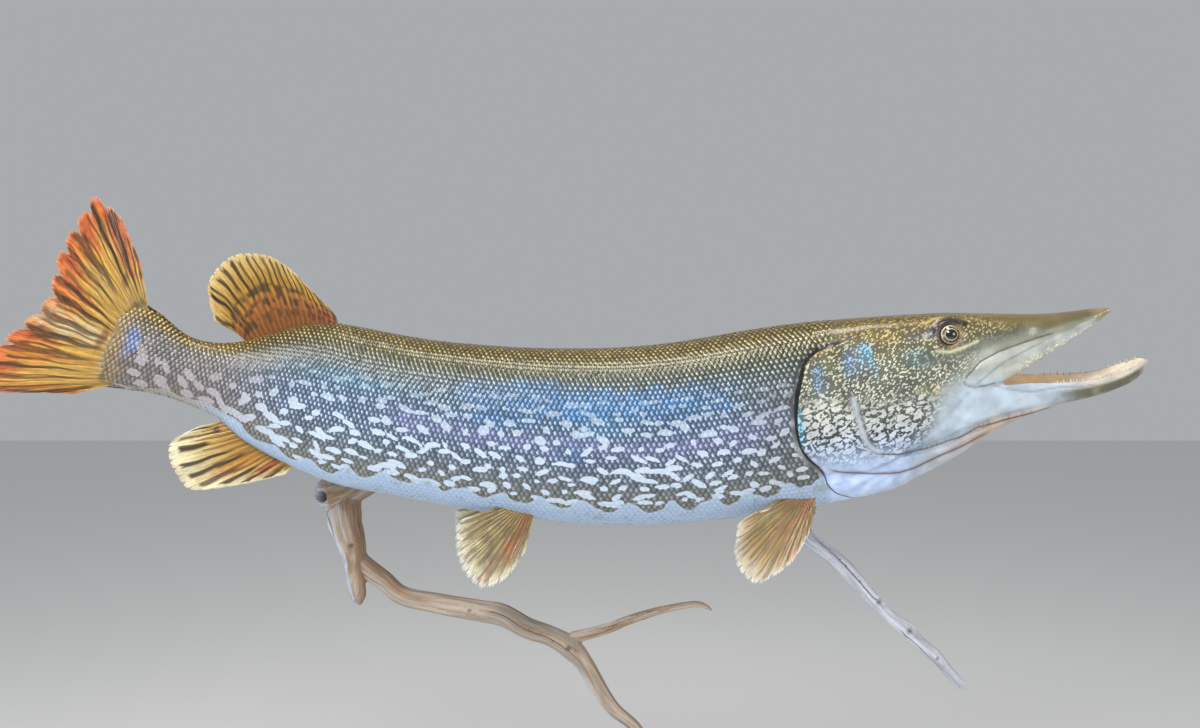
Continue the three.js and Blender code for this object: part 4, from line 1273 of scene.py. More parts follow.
@dataclass
class Skin:
    """One skin over trunk, head, jaw and throat, inside the solids by the scales' depth."""

    EYE: ClassVar[tuple[float, float]] = (152, 74.6)
    MAXILLA: ClassVar[Curve] = Curve([
        (56, 44.5, 60.5), (77, 32.5, 59), (106, 20, 51.6), (126, 17.6, 43.8), (139, 19.5, 33.5),
    ])  # s, height of the plate's lower and upper edge
    inset: float = 1.0
    voxel: float = 0.0017
    overlap: tuple[float, float] = (276, 297)
    trunk_step: float = 5.0
    trunk_columns: int = 80
    finish: HeadPaint = HeadPaint()

    def tuck(self, s: float, depth: float) -> float:
        """Returns how far a ring of the head shrinks to slip under the trunk's skin."""
        return 1 - depth * ramp(284, self.overlap[1], s)

    def trunk(self) -> Item:
        """Makes the trunk and tail stalk as rings of quads."""
        stations = np.append(np.arange(self.overlap[0], Fish.END, self.trunk_step), Fish.END)
        shares = np.linspace(-1, 1, self.trunk_columns + 1)[:-1]
        rings = [
            np.stack(Fish.trunk_ring(s, shares)[:2], axis=1) * (1 - 0.05 * ramp(288, self.overlap[0], s))
            for s in stations
        ]
        return Fish.loft("trunk_shell", stations, rings)

    def upper_head(self) -> Item:
        """Makes the head above the mouth, rounded at the snout."""
        front = -7 - 3.8 * np.sin(np.linspace(math.pi / 2, 0.2, 5))
        stations = np.concatenate([front, np.arange(-7, self.overlap[1], 2)])
        rings = []
        for s in stations:
            ring = Fish.head_ring(max(s, -7))
            middle = ring.mean(axis=0)
            near = math.sqrt(max(0.1, 1 - (max(0, -7 - s) / 4) ** 2))
            rings.append(middle + (ring - middle) * near * self.tuck(s, 0.05))
        return Fish.loft("head_shell", stations, rings)

    def jaw(self) -> Item:
        """Makes the lower jaw."""
        stations = np.concatenate([[-41, -40, -38.5, -36.5], np.arange(-34, Fish.JAW_END, 2)])
        return Fish.loft("jaw_shell", stations, [Fish.jaw_ring(s) for s in stations])

    def throat(self) -> Item:
        """Makes the throat."""
        stations = np.arange(54, self.overlap[1], 2)
        rings = [Fish.throat_ring(s) * (1, self.tuck(s, 0.04)) for s in stations]
        return Fish.loft("throat_shell", stations, rings)

    @staticmethod
    def maxilla(side: int) -> Item:
        """Makes the plate of the upper jaw on one side.

        Args:
            side: RIGHT or LEFT.

        Returns:
            The plate as an object.
        """
        line = np.linspace(56, 141, 48)
        low, high = Skin.MAXILLA(line).T
        round_end = np.sqrt(np.clip(1 - (np.maximum(line - 128, 0) / 13.2) ** 2, 0.02, 1))
        across = np.sin(np.linspace(-math.pi / 2, math.pi / 2, 18))
        s = np.repeat(line[:, None], 18, axis=1)
        u = ((low + high) / 2)[:, None] + ((high - low) / 2 * round_end)[:, None] * across
        width = Fish.side_at(s, np.maximum(u, Fish.HEAD(s)[..., 6]))
        lift = 1.7 * ramp(1, 0.8, np.abs(across)) * ramp(56, 80, s) - 0.5 * bell(across - 0.1, 0.35)
        outer, inner = (Fish.place(s, u, side * (width + out)) for out in (lift, -5))
        return plate(f"maxilla_shell_{side}", outer, inner)

    @staticmethod
    def mouth_share(made: Item, s: Array, u: Array, w: Array) -> Array:
        """Returns 1 for places inside the mouth and 0 for those outside.

        Args:
            made: The skin.
            s: Places behind the snout, in millimetres.
            u: Heights over the middle line.
            w: Places right of the middle.

        Returns:
            A number for each vertex.
        """
        _, up, right = Fish.frame_at(s)
        normal = normals_of(made)
        upward = np.sum(normal * up, axis=1)
        outward = np.sum(normal * right, axis=1) * np.sign(w)
        head_lip_w, head_lip, palate = Fish.HEAD(s)[:, 5:].T
        jaw_lip_w, floor = Fish.JAW(s)[:, [0, 5]].T
        between = (u > floor - 6) & (s < 165) & (np.abs(w) < head_lip_w - 5)
        between |= (u > floor - 3) & (s < 118)
        roof = (upward < -0.25) & (np.abs(w) < head_lip_w - 3.5) & (u > head_lip - 1)
        trough = ((upward > 0.35) | (outward < -0.35)) & (np.abs(w) < jaw_lip_w - 2.6)
        return (between & (u < palate + 4) & (roof | trough)).astype(float)

    @classmethod
    def eye_rings(cls, s: Array, u: Array) -> tuple[Array, Array]:
        """Returns the distance from the eye and the height, -1 to 1, of the rings round it."""
        away = np.hypot(s - cls.EYE[0], u - cls.EYE[1] + 1)
        return away, np.sin(away * 3.4 + 2 * cloud(s / 4, u / 4, 29))

    @staticmethod
    def rays(s: Array, u: Array) -> Array:
        """Returns the height of the rays in the membrane under the gill cover."""
        angle = np.arctan2(u + 12, s - 150)
        return 0.55 * np.sin(angle * 62) * ramp(-60, -68, u) * ramp(170, 215, s)

    def carve(self, made: Item) -> None:
        """Presses the eyes, nostrils, folds, ridges and rays into the head."""
        points, normal = points_of(made), normals_of(made)
        s, u, w = Fish.locate(points)
        outside = ramp(0.1, 0.4, np.sum(normal * Fish.frame_at(s)[2], axis=1) * np.sign(w))
        mouth = self.mouth_share(made, s, u, w)
        away, rings = self.eye_rings(s, u)
        out = 1.3 * bell(away - 11.6, 1.9) - 4.5 * ramp(10.4, 7.6, away) - 0.5 * bell(away - 15.5, 1.6)
        out += 1.1 * bell(distance_to_line(s, u, HeadLines.BROW.route)[0], 3.4)
        out += 0.35 * rings * bell(away - 13, 3) + self.rays(s, u)
        gap, along = distance_to_line(s, u, [(60, 71), (100, 66), (134, 62), (170, 60)])
        out -= 1.6 * bell(gap, 7) * taper(along, 0.2)
        out += 0.22 * (cloud(s / 5, u / 5, 61) - 0.5) * ramp(110, 150, s) * (1 - mouth)
        for line in HeadLines.ALL:
            gap, along = distance_to_line(s, u, line.route)
            under = ramp(1.5, -1.5, line.above(s, u)) * ramp(26, 0, gap)
            out -= (line.depth * bell(gap, line.width) + line.step * under) * taper(along, 0.08)
        push = out * outside - self.inset + 0.5 * np.sin(w * 0.55 + 0.4 * np.sin(s / 9)) * mouth
        for at_s, at_u, wide in ((126, 83.5, 2), (118, 82.5, 1.6)):
            nostril = np.hypot((s - at_s) / 1.3, u - at_u)
            push += 0.5 * bell(nostril - wide - 1.4, 1.1) - 2.2 * ramp(wide, 0.4 * wide, nostril)
        move_points(made, points + normal * push[:, None] * MM)
        set_values(made, "Mouth", mouth)

    def make(self) -> Item:
        """Melts the head's shells into one, joins the trunk to it and paints the skin."""
        shells = [self.upper_head(), self.jaw(), self.throat()]
        for side in (RIGHT, LEFT):
            shells += [GillCover.shell(side), self.maxilla(side)]
        head, trunk = fused("head_skin", shells, self.voxel, 3), self.trunk()
        self.carve(head)
        move_points(trunk, points_of(trunk) - normals_of(trunk) * self.inset * MM)
        set_values(trunk, "Mouth", np.zeros(len(trunk.data.vertices)))
        with bpy.context.temp_override(active_object=head, selected_editable_objects=[head, trunk]):
            bpy.ops.object.join()
        head.name = "skin"
        self.paint(head)
        head.data.materials.append(self.finish.material())
        return head

    def paint(self, made: Item) -> None:
        """Writes the markings on the skin."""
        s, u, w = Fish.locate(points_of(made))
        mouth = read(made.data.attributes["Mouth"].data, "value", 1)[:, 0]
        head, trunk = Pattern.head(s, u, w, mouth), Pattern.trunk(s, u, w)
        nape = ramp(66, 80, u)
        share = ramp(286 - 46 * nape, 290 - 12 * nape, s)
        share = np.where((s < Pattern.gill_edge(u) + 0.5) & (u < 77) & (np.abs(w) > 20), 0, share)
        set_colour(made, "Tint", blend(head.tint, trunk.spotted(), share))
        set_colour(made, "Mark", blend(head.mark, trunk.mark, share), head.amount * (1 - share))
        set_values(made, "Worm", head.worm)
        # Field of the black line of painted shade along the gap behind the gill cover.
        set_values(made, "Slit", np.where(np.abs(w) > 15, Pattern.slit_shade(s, u), FAR))
        sharp = (HeadLines.JAW_FOLD, HeadLines.MEMBRANE_FOLD, HeadLines.MAXILLA_TOP)
        folds = np.stack([line.fold(s, u) for line in sharp], axis=1)
        set_values(made, "Folds", np.where((np.abs(w) > 6)[:, None], folds, FAR))


# ---- scales


STREWN = ("Normal", "Lie", "Stretch")


def strew(points: Item, piece: Item, size: float, finish: Material) -> None:
    """Sets a piece on every vertex of a mesh and bakes the result into plain faces.

    Args:
        points: Mesh of loose vertices with Normal, Lie and Stretch vectors; it becomes the result.
        piece: What is set on each, with its length along +Y and its top along +Z.
        size: Scale of every piece.
        finish: Material of the result.
    """
    group = bpy.data.node_groups.new(f"strew_{points.name}", "GeometryNodeTree")
    modifier = points.modifiers.new("Strew", "NODES")
    group.interface.new_socket("Mesh", in_out="INPUT", socket_type="NodeSocketGeometry")
    group.interface.new_socket("Mesh", in_out="OUTPUT", socket_type="NodeSocketGeometry")
    values = {"Piece": ("Object", piece), "Size": ("Float", size), "Finish": ("Material", finish)}
    sockets = {
        name: group.interface.new_socket(name, in_out="INPUT", socket_type="NodeSocket" + kind)
        for name, (kind, _) in values.items()
    }
    modifier.node_group = group
    for name, (_, value) in values.items():
        modifier[sockets[name].identifier] = value
    tree = Nodes(group)
    given = tree.node("NodeGroupInput", {}).outputs
    kind = "GeometryNodeInputNamedAttribute"
    ways = (tree.node(kind, {"Name": name}, data_type="FLOAT_VECTOR") for name in STREWN)
    normal, lie, stretch = (way.outputs["Attribute"] for way in ways)
    axes = {"primary_axis": "Z", "secondary_axis": "Y"}
    turn = tree.node("FunctionNodeAxesToRotation", {0: normal, 1: lie}, **axes)
    shape = tree.node("GeometryNodeObjectInfo", {"Object": given["Piece"]})
    scale = tree.node("ShaderNodeVectorMath", {0: stretch, "Scale": given["Size"]}, operation="SCALE")
    spread = tree.node("GeometryNodeInstanceOnPoints", {
        "Points": given["Mesh"], "Instance": shape.outputs["Geometry"], "Rotation": turn.outputs[0],
        "Scale": scale.outputs[0],
    })
    real = tree.node("GeometryNodeRealizeInstances", {"Geometry": spread.outputs[0]})
    dressed = tree.node("GeometryNodeSetMaterial", {0: real.outputs[0], "Material": given["Finish"]})
    tree.node("NodeGroupOutput", {0: dressed.outputs[0]})
    applied(points)
    bpy.data.objects.remove(piece)


def seeds(name: str, roots: Array, *ways: Array) -> Item:
    """Makes loose vertices to strew pieces on, with vectors for how each one lies."""
    made = build_mesh(name, roots, [np.empty((0, 3), np.int32)])
    for key, way in zip(STREWN, ways):
        set_values(made, key, way)
    return made


@dataclass
class ScaleCoat:
    """The scales of one side, in staggered rows, each lying over the one behind."""

    PATCH: ClassVar[float] = 0.003
    SHRINK: ClassVar[Array] = np.array([(300, 700, 900, 1050), (1.04, 0.98, 0.86, 0.8)])
    side: int
    ground: BVHTree
    first: float = 234.0
    last: float = 1066.0
    pitch: float = 5.6
    row: float = 5.3
    block: float = 8.0
    finish: ScalePaint = ScalePaint()

    @staticmethod
    def scale_piece() -> Item:
        """Makes one scale, a unit long and wide: a crowned plate with a round rear edge."""
        lengths, widths, lifts = np.array([
            (-0.45, 0.42, -0.1), (0.3, 0.5, 0.08), (0.68, 0.38, 0.16), (0.86, 0.2, 0.05),
        ]).T[..., None]
        across = np.linspace(-1, 1, 5)
        x, y = across * widths, lengths - 0.12 * across**2 * (lengths > 0.5)
        points = np.stack([x, y, lifts - 0.09 * across**2], axis=-1).reshape(-1, 3)
        made = build_mesh("scale_piece", points, [grid_faces(4, 5)])
        place = np.stack([x + 0.5, (y + 0.45) / 1.31], axis=-1).reshape(-1, 2)
        set_uv(made, "ScaleUV", place[corner_vertices(made)])
        return made

    def roots(self) -> tuple[Array, ...]:
        """Works out where the scales are rooted.

        Returns:
            s, the share of the half girth, the size, and u and w of each root.
        """
        rows = []
        s, column = self.first, 0
        while s < self.last:
            shrink = float(np.interp(s, *self.SHRINK))
            half_girth = Fish.trunk_ring(s, np.array([0]))[2]
            step = 2 * self.row * shrink
            count = int(0.5 * half_girth / step) + 1
            shares = 0.5 + (np.arange(-count, count + 1) + 0.5 * (column % 2)) * step / half_girth
            shares = shares[(shares > 0.004) & (shares < 0.996)]
            u, w, _ = Fish.trunk_ring(s, self.side * shares)
            rows.append(np.stack(np.broadcast_arrays(s, shares, shrink, u, w), axis=1))
            s += 0.5 * self.pitch * shrink
            column += 1
        return tuple(np.concatenate(rows).T)

    def kept(self, s: Array, u: Array, w: Array) -> Array:
        """Returns true for scales that aren't under the gill cover, before the nape or on a fin.

        Args:
            s: Places behind the snout, in millimetres.
            u: Heights over the middle line.
            w: Places right of the middle.

        Returns:
            True or false for each scale.
        """
        cover = (s < Pattern.gill_edge(u) + 1.2) & (u < 77)
        onto_fin = s > 1047 + 14 * (u / 45) ** 2 + 16 * (cloud(u / 5, w / 5, 61) - 0.5)
        return (s > np.where(u > 0, self.first + 0.3 * np.abs(w), Fish.NECK)) & ~cover & ~onto_fin

    def laid(self, s: Array, share: Array, near: Array) -> Array:
        """Returns points at a share of the half girth, on the skin itself where near is true."""
        points = Fish.place(s, *self.beside(s, np.clip(share, 0, 1)))
        points[near] = [self.ground.find_nearest(point)[0] for point in points[near]]
        return points

    def beside(self, s: Array, share: Array) -> tuple[Array, Array]:
        """Returns u and w at a share of the half girth for many stations at once."""
        places = np.empty((2, len(s)))
        blocks = np.round(s / self.block)
        for block in np.unique(blocks):
            chosen = blocks == block
            start = (block - 0.5) * self.block
            signed = self.side * share[chosen]
            low, high = (np.array(Fish.trunk_ring(at, signed)[:2]) for at in (start, start + self.block))
            f = (s[chosen] - start) / self.block
            places[:, chosen] = low * (1 - f) + high * f
        return places[0], places[1]

    def make(self) -> Item:
        """Makes the scales and their colours and returns them as one mesh."""
        s, share, shrink, u, w = self.roots()
        keep = self.kept(s, u, w)
        s, share, shrink, u, w = (values[keep] for values in (s, share, shrink, u, w))
        random = np.random.default_rng(SEED + self.side)
        s = s + random.normal(0, 0.16, len(s))
        near = (s < Fish.NECK) & (u > 60)
        root = self.laid(s, share, near)
        tail = unit(self.laid(s + 3, share, near) - root)
        across = self.laid(s, share + 0.015, near) - self.laid(s, share - 0.015, near)
        normal = unit(np.cross(tail, across) * self.side)
        sunk = 1.5 * ramp(38, 0, s - self.first - 0.3 * np.abs(w)) * ramp(60, 75, u) - 1 * near
        sunk += 0.5 * ramp(8, 1, s - Pattern.gill_edge(u)) * ramp(80, 72, u)
        sunk += 2 * ramp(1044, 1062, s)
        size = (shrink * random.uniform(0.95, 1.05, len(s)))[:, None]
        made = seeds(
            f"scales_{NAMES[self.side]}", root - normal * (0.95 + sunk)[:, None] * MM,
            normal + random.normal(0, 0.02, normal.shape), tail + random.normal(0, 0.03, tail.shape),
            size * (self.row * 1.75, self.pitch * 1.35, 4),
        )
        span = (s - self.first) / (self.last - self.first)
        set_values(made, "Root", np.stack([0.01 + 0.98 * span, 0.01 + 0.98 * share, share * 0], axis=1))
        set_values(made, "Chance", random.random(len(s)))
        strew(made, self.scale_piece(), MM, self.finish.material())
        self.paint(made)
        return made

    def paint(self, made: Item) -> None:
        """Writes the markings, the flecks and the map for baking on the scales."""
        s, u, w = Fish.locate(points_of(made))
        marking = Pattern.trunk(s, u, w)
        chance = read(made.data.attributes["Chance"].data, "value", 1)
        flecks = np.clip(marking.amount * (0.35 + 1.1 * chance[:, 0]), 0, 1)
        set_colour(made, "Tint", marking.tint * (0.8 + 0.4 * chance), marking.spot)
        set_colour(made, "Pale", marking.pale, marking.pale_share)
        set_colour(made, "Fleck", marking.mark, flecks)
        # Field of the black line of painted shade along the gap behind the gill cover.
        set_values(made, "Slit", Pattern.slit_shade(s, u))
        root = read(made.data.attributes["Root"].data, "vector", 3)[corner_vertices(made), :2]
        local = read(made.data.uv_layers["ScaleUV"].uv, "vector", 2)
        set_uv(made, "OFBake", root + (local - 0.5) * self.PATCH)
        drop(made, "Root", "Chance", *STREWN)


# ---- eyes, teeth and tongue


@dataclass(frozen=True)
class PlainPaint:
    """One colour with a little mottling, grain and gloss."""

    name: str
    colour: Colour
    shade: Colour
    gloss: Varnish = Varnish()
    grain: float = 500.0

    def material(self) -> Material:
        """Builds the material."""
        shader = Shader(self.name)
        blotch = shader.rise(shader.noise(shader.place(), 0.3 * self.grain, 3), 0.35, 0.65)
        fine = shader.noise(shader.place(), self.grain, 3)
        colour = shader.mix(blotch, self.colour, self.shade)
        return shader.varnished(colour, shader.bump(fine, 0.0003, 0.6), fine, self.gloss)


@dataclass(frozen=True)
class EyeGlass:
    """Glass of an eye: a black pupil, a gold ring, a dark iris with flecks and a pale rim.

    Each ring starts at an angle from the middle of the pupil, in radians, with a soft edge.
    """

    name: str = "eye_glass"
    rings: tuple[tuple[float, float, Colour], ...] = (
        (0.76, 0.04, (0.74, 0.64, 0.46)), (0.88, 0.06, (0.04, 0.03, 0.025)),
    )
    pupil: float = 0.43
    gold: float = 0.49

    def material(self) -> Material:
        """Builds it from the mesh's Off, the angle from the middle of the pupil."""
        shader = Shader(self.name)
        off = shader.attribute("Off", "Fac")
        flecks = shader.noise(shader.place(), 900, 4, 0.6)
        wobble = shader.math("ADD", off, shader.rise(flecks, 0.2, 0.8, -0.03, 0.03))
        iris = shader.mix(shader.rise(flecks, 0.52, 0.66), (0.03, 0.02, 0.014), (0.46, 0.31, 0.1))
        iris = shader.mix(shader.rise(wobble, self.gold, self.gold + 0.05), (0.7, 0.58, 0.34), iris)
        for (start, soft, colour), angle in zip(self.rings, (wobble, off)):
            iris = shader.mix(shader.rise(angle, start, start + soft), iris, colour)
        colour = shader.mix(shader.rise(off, self.pupil, self.pupil + 0.03), (0.003, 0.003, 0.004), iris)
        return shader.done({
            "Base Color": colour, "Roughness": shader.rise(flecks, 0.2, 0.8, 0.06, 0.16),
            "Normal": shader.bump(flecks, 0.00015, 0.3), "Coat Weight": 1, "Coat Roughness": 0.02,
        })


@dataclass
class Eyes:
    """Two round eyes that sit deep in the head and look outwards."""

    at: tuple[float, float] = (152, 72.6)
    radius: float = 12.0
    proud: float = 2.4
    rings: int = 44
    columns: int = 72
    finish: EyeGlass = EyeGlass()

    def make(self, side: int) -> Item:
        """Makes the eye on one side, with its poles on the line of sight.

        Args:
            side: RIGHT or LEFT.

        Returns:
            The glass eye.
        """
        s, u = self.at
        width = Fish.side_at(np.array([s]), np.array([u + 2]))[0]
        middle = Fish.place(s, u, side * (width + self.proud - self.radius))
        _, up, right = Fish.frame_at(np.array(s))
        gaze = unit(right * side + 0.16 * up + 0.16 * unit(Fish.place(s - 1, u, 0) - Fish.place(s, u, 0)))
        level = unit(np.cross(up, gaze))
        upright = np.cross(gaze, level)
        off = np.linspace(0.02, math.pi - 0.02, self.rings)[:, None, None]
        turn = np.linspace(0, 2 * math.pi, self.columns + 1)[:-1][:, None]
        bulge = 1 + 0.05 * bell(off, 0.55)
        ball = bulge * (gaze * np.cos(off) + np.sin(off) * (level * np.cos(turn) + upright * np.sin(turn)))
        ends = np.array([gaze * 1.05, -gaze])
        ball, ends = (middle + points * self.radius * MM for points in (ball, ends))
        made = tube(f"eye_{NAMES[side]}_glass", ball, ends)
        oval = 1 - 0.14 * np.cos(turn[:, 0]) ** 2 * ramp(0.8, 0.4, off[..., 0])
        set_values(made, "Off", np.append((off[..., 0] * oval).ravel(), [0, math.pi]))
        made.data.materials.append(self.finish.material())
        return made


@dataclass
class Teeth:
    """Pointed teeth along the lower jaw, leaning inwards, of uneven size."""

    first: float = -32.0
    last: float = 58.0
    step: float = 6.0
    finish: PlainPaint = PlainPaint(
        "tooth_ivory", (0.8, 0.74, 0.6), (0.66, 0.55, 0.36), Varnish(0.25, 0.9, 0.06), 900
    )

    @staticmethod
    def tooth_piece() -> Item:
        """Makes one tooth, a unit high along its top, bent a little back."""
        heights, radii = np.array([(-0.35, 0.3), (0.1, 0.24), (0.5, 0.14), (0.8, 0.06)]).T[..., None]
        angle = np.linspace(0, 2 * math.pi, 9)[:-1]
        rings = [radii * np.cos(angle), radii * np.sin(angle) + 0.16 * heights**2, heights + 0 * angle]
        ends = np.array([(0, 0, -0.35), (0, 0.17, 1)])
        made = tube("tooth_piece", np.stack(rings, axis=-1), ends, turned=True)
        set_uv(made, "ScaleUV", points_of(made)[corner_vertices(made), :2])
        return made

    def make(self) -> Item:
        """Makes all the teeth as one mesh."""
        random = np.random.default_rng(SEED)
        s = np.arange(self.first, self.last, self.step)
        s = np.concatenate([s + random.uniform(-1.5, 1.5, len(s)), s + self.step / 2])
        tall = np.concatenate([random.uniform(*sizes, len(s) // 2) for sizes in ((2.2, 3.6), (1.2, 1.9))])
        lip_w, lip_u = Fish.JAW(s)[:, :2].T
        _, up, right = Fish.frame_at(s)
        roots, normals, lies = [], [], []
        for side in (RIGHT, LEFT):
            w = side * (lip_w - np.where(tall > 2, 3.6, 2.4))
            roots.append(Fish.place(s, lip_u - 1.2, w))
            normals.append(up - 0.16 * side * right + random.normal(0, 0.06, (len(s), 3)))
            lies.append(Fish.place(s + 1, lip_u, w) - Fish.place(s, lip_u, w))
        roots, normals, lies = (np.concatenate(rows) for rows in (roots, normals, lies))
        made = seeds("teeth", roots, normals, lies, np.tile(tall, 2)[:, None] * np.ones(3))
        strew(made, self.tooth_piece(), MM, self.finish.material())
        drop(made, *STREWN)
        return made


@dataclass
class Tongue:
    """The tongue, a low ridge with a groove along it on the floor of the jaw."""

    first: float = 18.0
    last: float = 128.0
    half_width: float = 12.0
    height: float = 6.0
    finish: PlainPaint = PlainPaint(
        "tongue_flesh", (0.88, 0.66, 0.44), (0.78, 0.5, 0.32), Varnish(0.4, 0.6, 0.15)
    )

    def make(self) -> Item:
        """Makes the tongue."""
        stations = np.linspace(self.first, self.last, 70)
        angle = np.linspace(0, 2 * math.pi, 49)[:-1]
        rings = []
        for s in stations:
            along = (s - self.first) / (self.last - self.first)
            swell = math.sqrt(max(0.06, 1 - (2 * along - 1) ** 4))
            foot = float(Fish.JAW(s)[5]) + 0.3
            lift = np.clip(np.cos(angle), 0, 1) ** 0.7
            groove = 0.9 * bell(np.sin(angle), 0.22) * (np.cos(angle) > 0)
            u = foot + swell * (self.height * lift - groove) + 0.2 * np.sin(9 * angle + 0.35 * s) * lift
            rings.append(np.stack([u, swell * self.half_width * np.sin(angle)], axis=1))
        made = Fish.loft("tongue_flesh", stations, rings)
        made.data.materials.append(self.finish.material())
        return made


# ---- fins


@dataclass(frozen=True)
class FinPaint:
    """Painted rays and web, with grain along the rays and joints across."""

    name: str = "painted_fin"
    gloss: Varnish = Varnish(0.34, 0.6, 0.1, (0.1, 0.1))

    def material(self) -> Material:
        """Builds it from the mesh's Tint and RayUV, across and along the rays."""
        shader = Shader(self.name)
        uv = shader.node("ShaderNodeUVMap", {}, uv_map="RayUV").outputs[0]
        streaks = shader.noise(shader.stretched(uv, (260, 14, 1)), 1, 3)
        joints = shader.noise(shader.stretched(uv, (20, 230, 1)), 1, 1)
        colour = shader.shaded(shader.attribute("Tint"), shader.rise(streaks, 0.3, 0.7, 0.78, 1.18))
        normal = shader.bump(joints, 0.0004, 0.5, shader.bump(streaks, 0.0005, 0.7))
        return shader.varnished(colour, normal, streaks, self.gloss)


@dataclass(frozen=True)
class Streaks:
    """Dark streaks in the web, by their shares of the way along the rays."""

    count: int
    start: float
    end: float
    width: float
    colour: Colour = (0.045, 0.022, 0.008)
    uneven: float = 0.12
    strength: float = 0.9

    def lay(self, tint: Array, t: Array, v: Array) -> Array:
        """Lays the streaks on the colours of places (t, v) of a fin."""
        random = np.random.default_rng(SEED + self.count)
        for index in range(self.count):
            start = self.start + self.uneven * random.normal()
            end = self.end + 0.3 * self.uneven * random.normal()
            middle = (index + 0.5 + 0.12 * random.normal()) / self.count
            wide = self.width * random.uniform(0.6, 1.25) / self.count
            along = ramp(start, start + 0.3 * (end - start), v) * ramp(end + 0.02, end - 0.03, v)
            gap = t - middle - 0.004 * np.sin(17 * v + index)
            share = self.strength * along * ramp(1.3, 0.6, np.abs(gap) / (wide * (0.5 + 0.6 * v)))
            tint = blend(tint, self.colour, share * random.uniform(0.7, 1))
        return tint


@dataclass(frozen=True)
class Fin:
    """A fin: the line its rays are rooted on, the line they end on and its paint.

    The lines are rows of share across, then s, u and w in millimetres.
    """

    name: str
    root: list[Row]
    tip: list[Row]
    rays: int
    thick: float
    ground: list[Row]
    patches: list[Patch]
    streaks: list[Streaks]
    edge: Colour = (0.78, 0.66, 0.42)
    notch: float = 0.03
    lobes: int = 0
    fray: float = 0.02
    bow: tuple[float, float] = (0, 0)
    columns: int = 220
    rows: int = 84
    web_shade: float = 0.45

    def ridges(self, t: Array, v: Array) -> Array:
        """Returns how high the rays stand, from 0 to 1. Each ray branches twice."""
        across = np.mod(t * (self.rays - 1) + 0.5, 1) - 0.5
        first, second = 0.23 * ramp(0.3, 0.75, v), 0.11 * ramp(0.6, 0.95, v)
        branches = (across - one * first - two * second for one in (-1, 1) for two in (-1, 1))
        return np.max([bell(branch, 0.2 - 0.13 * v) for branch in branches], axis=0)

    def surface(self, side: int, shift: float, spread: float) -> tuple[Array, Array, Array]:
        """Works out the middle surface.

        Args:
            side: RIGHT or LEFT for a paired fin and 0 for one on the middle line.
            shift: How far back the tips are moved, in millimetres.
            spread: Scale of how far the rays stand out to the side.

        Returns:
            The grid of points, and the shares across and along.
        """
        t, v = np.meshgrid(np.linspace(0, 1, self.columns), np.linspace(-0.07, 1, self.rows))
        root, tip = Curve(self.root)(t), Curve(self.tip)(t)
        lobes = self.lobes or self.rays - 1
        ragged = self.notch * np.abs(2 * np.mod(t * lobes + 0.5, 1) - 1) ** 4
        ragged += self.fray * (1 - self.ridges(t, 1)) + 0.5 * self.fray * cloud(t * 90, t * 0, 83)
        reach = v * (1 - ragged * ramp(0.55, 1, v))
        at = root + (tip - root) * reach[..., None] * (1, 1, spread)
        arch = 4 * v * (1 - v) * (v > 0)
        wave = np.sin(t * 17 + 2 * v + len(self.name)) + 0.5 * np.sin(t * 41 + 3 * v)
        s = at[..., 0] + shift * reach + self.bow[0] * arch
        u = at[..., 1] + self.bow[1] * arch
        w = at[..., 2] * (side or 1) + 1.3 * wave * ramp(0.1, 1, v)
        return Fish.place(s, u, w), t, v

    def paint(self, t: Array, v: Array, high: Array) -> Array:
        """Works out the colours of places on the fin."""
        tint = Curve(self.ground)(np.clip(v, 0, 1)) * (0.82 + 0.36 * cloud(t * 40, v * 5, 91))[..., None]
        for patch in self.patches:
            tint = blend(tint, patch.colour, patch.share(t * 100, v * 100))
        tint = tint * (1 - self.web_shade * (1 - high) * ramp(1, 0.7, v))[..., None]
        for streaks in self.streaks:
            tint = streaks.lay(tint, t, v)
        return blend(tint, self.edge, 0.75 * ramp(0.955, 0.985, v))

    def make(self, side: int = 0, shift: float = 0.0, spread: float = 1.0) -> Item:
        """Makes the fin as a closed shell with its colours.

        Args:
            side: RIGHT, LEFT or 0 in the middle.
            shift: How far back the tips are moved, in millimetres.
            spread: Scale of how far the rays stand out to the side.

        Returns:
            The fin as an object.
        """
        middle, t, v = self.surface(side, shift, spread)
        normal = np.cross(np.gradient(middle, axis=1), np.gradient(middle, axis=0))
        normal /= np.maximum(np.linalg.norm(normal, axis=-1, keepdims=True), 1e-12)
        high = self.ridges(t, v)
        half = 0.5 * (self.thick * (1 - np.clip(v, 0, 1)) ** 2 + 0.9) + 0.42 * high * (1 - 0.45 * v)
        half = (half * ramp(1.05, 0.93, v) * MM)[..., None]
        tag = f"_{NAMES[side]}" if side else ""
        made = plate(f"{self.name}{tag}_rays", middle + normal * half, middle - normal * half)
        set_colour(made, "Tint", np.tile(self.paint(t, v, high).reshape(-1, 3), (2, 1)))
        place = np.tile(np.stack([t, v], axis=-1).reshape(-1, 2), (2, 1))
        set_uv(made, "RayUV", place[corner_vertices(made)])
        made.data.materials.append(FinPaint().material())
        return made


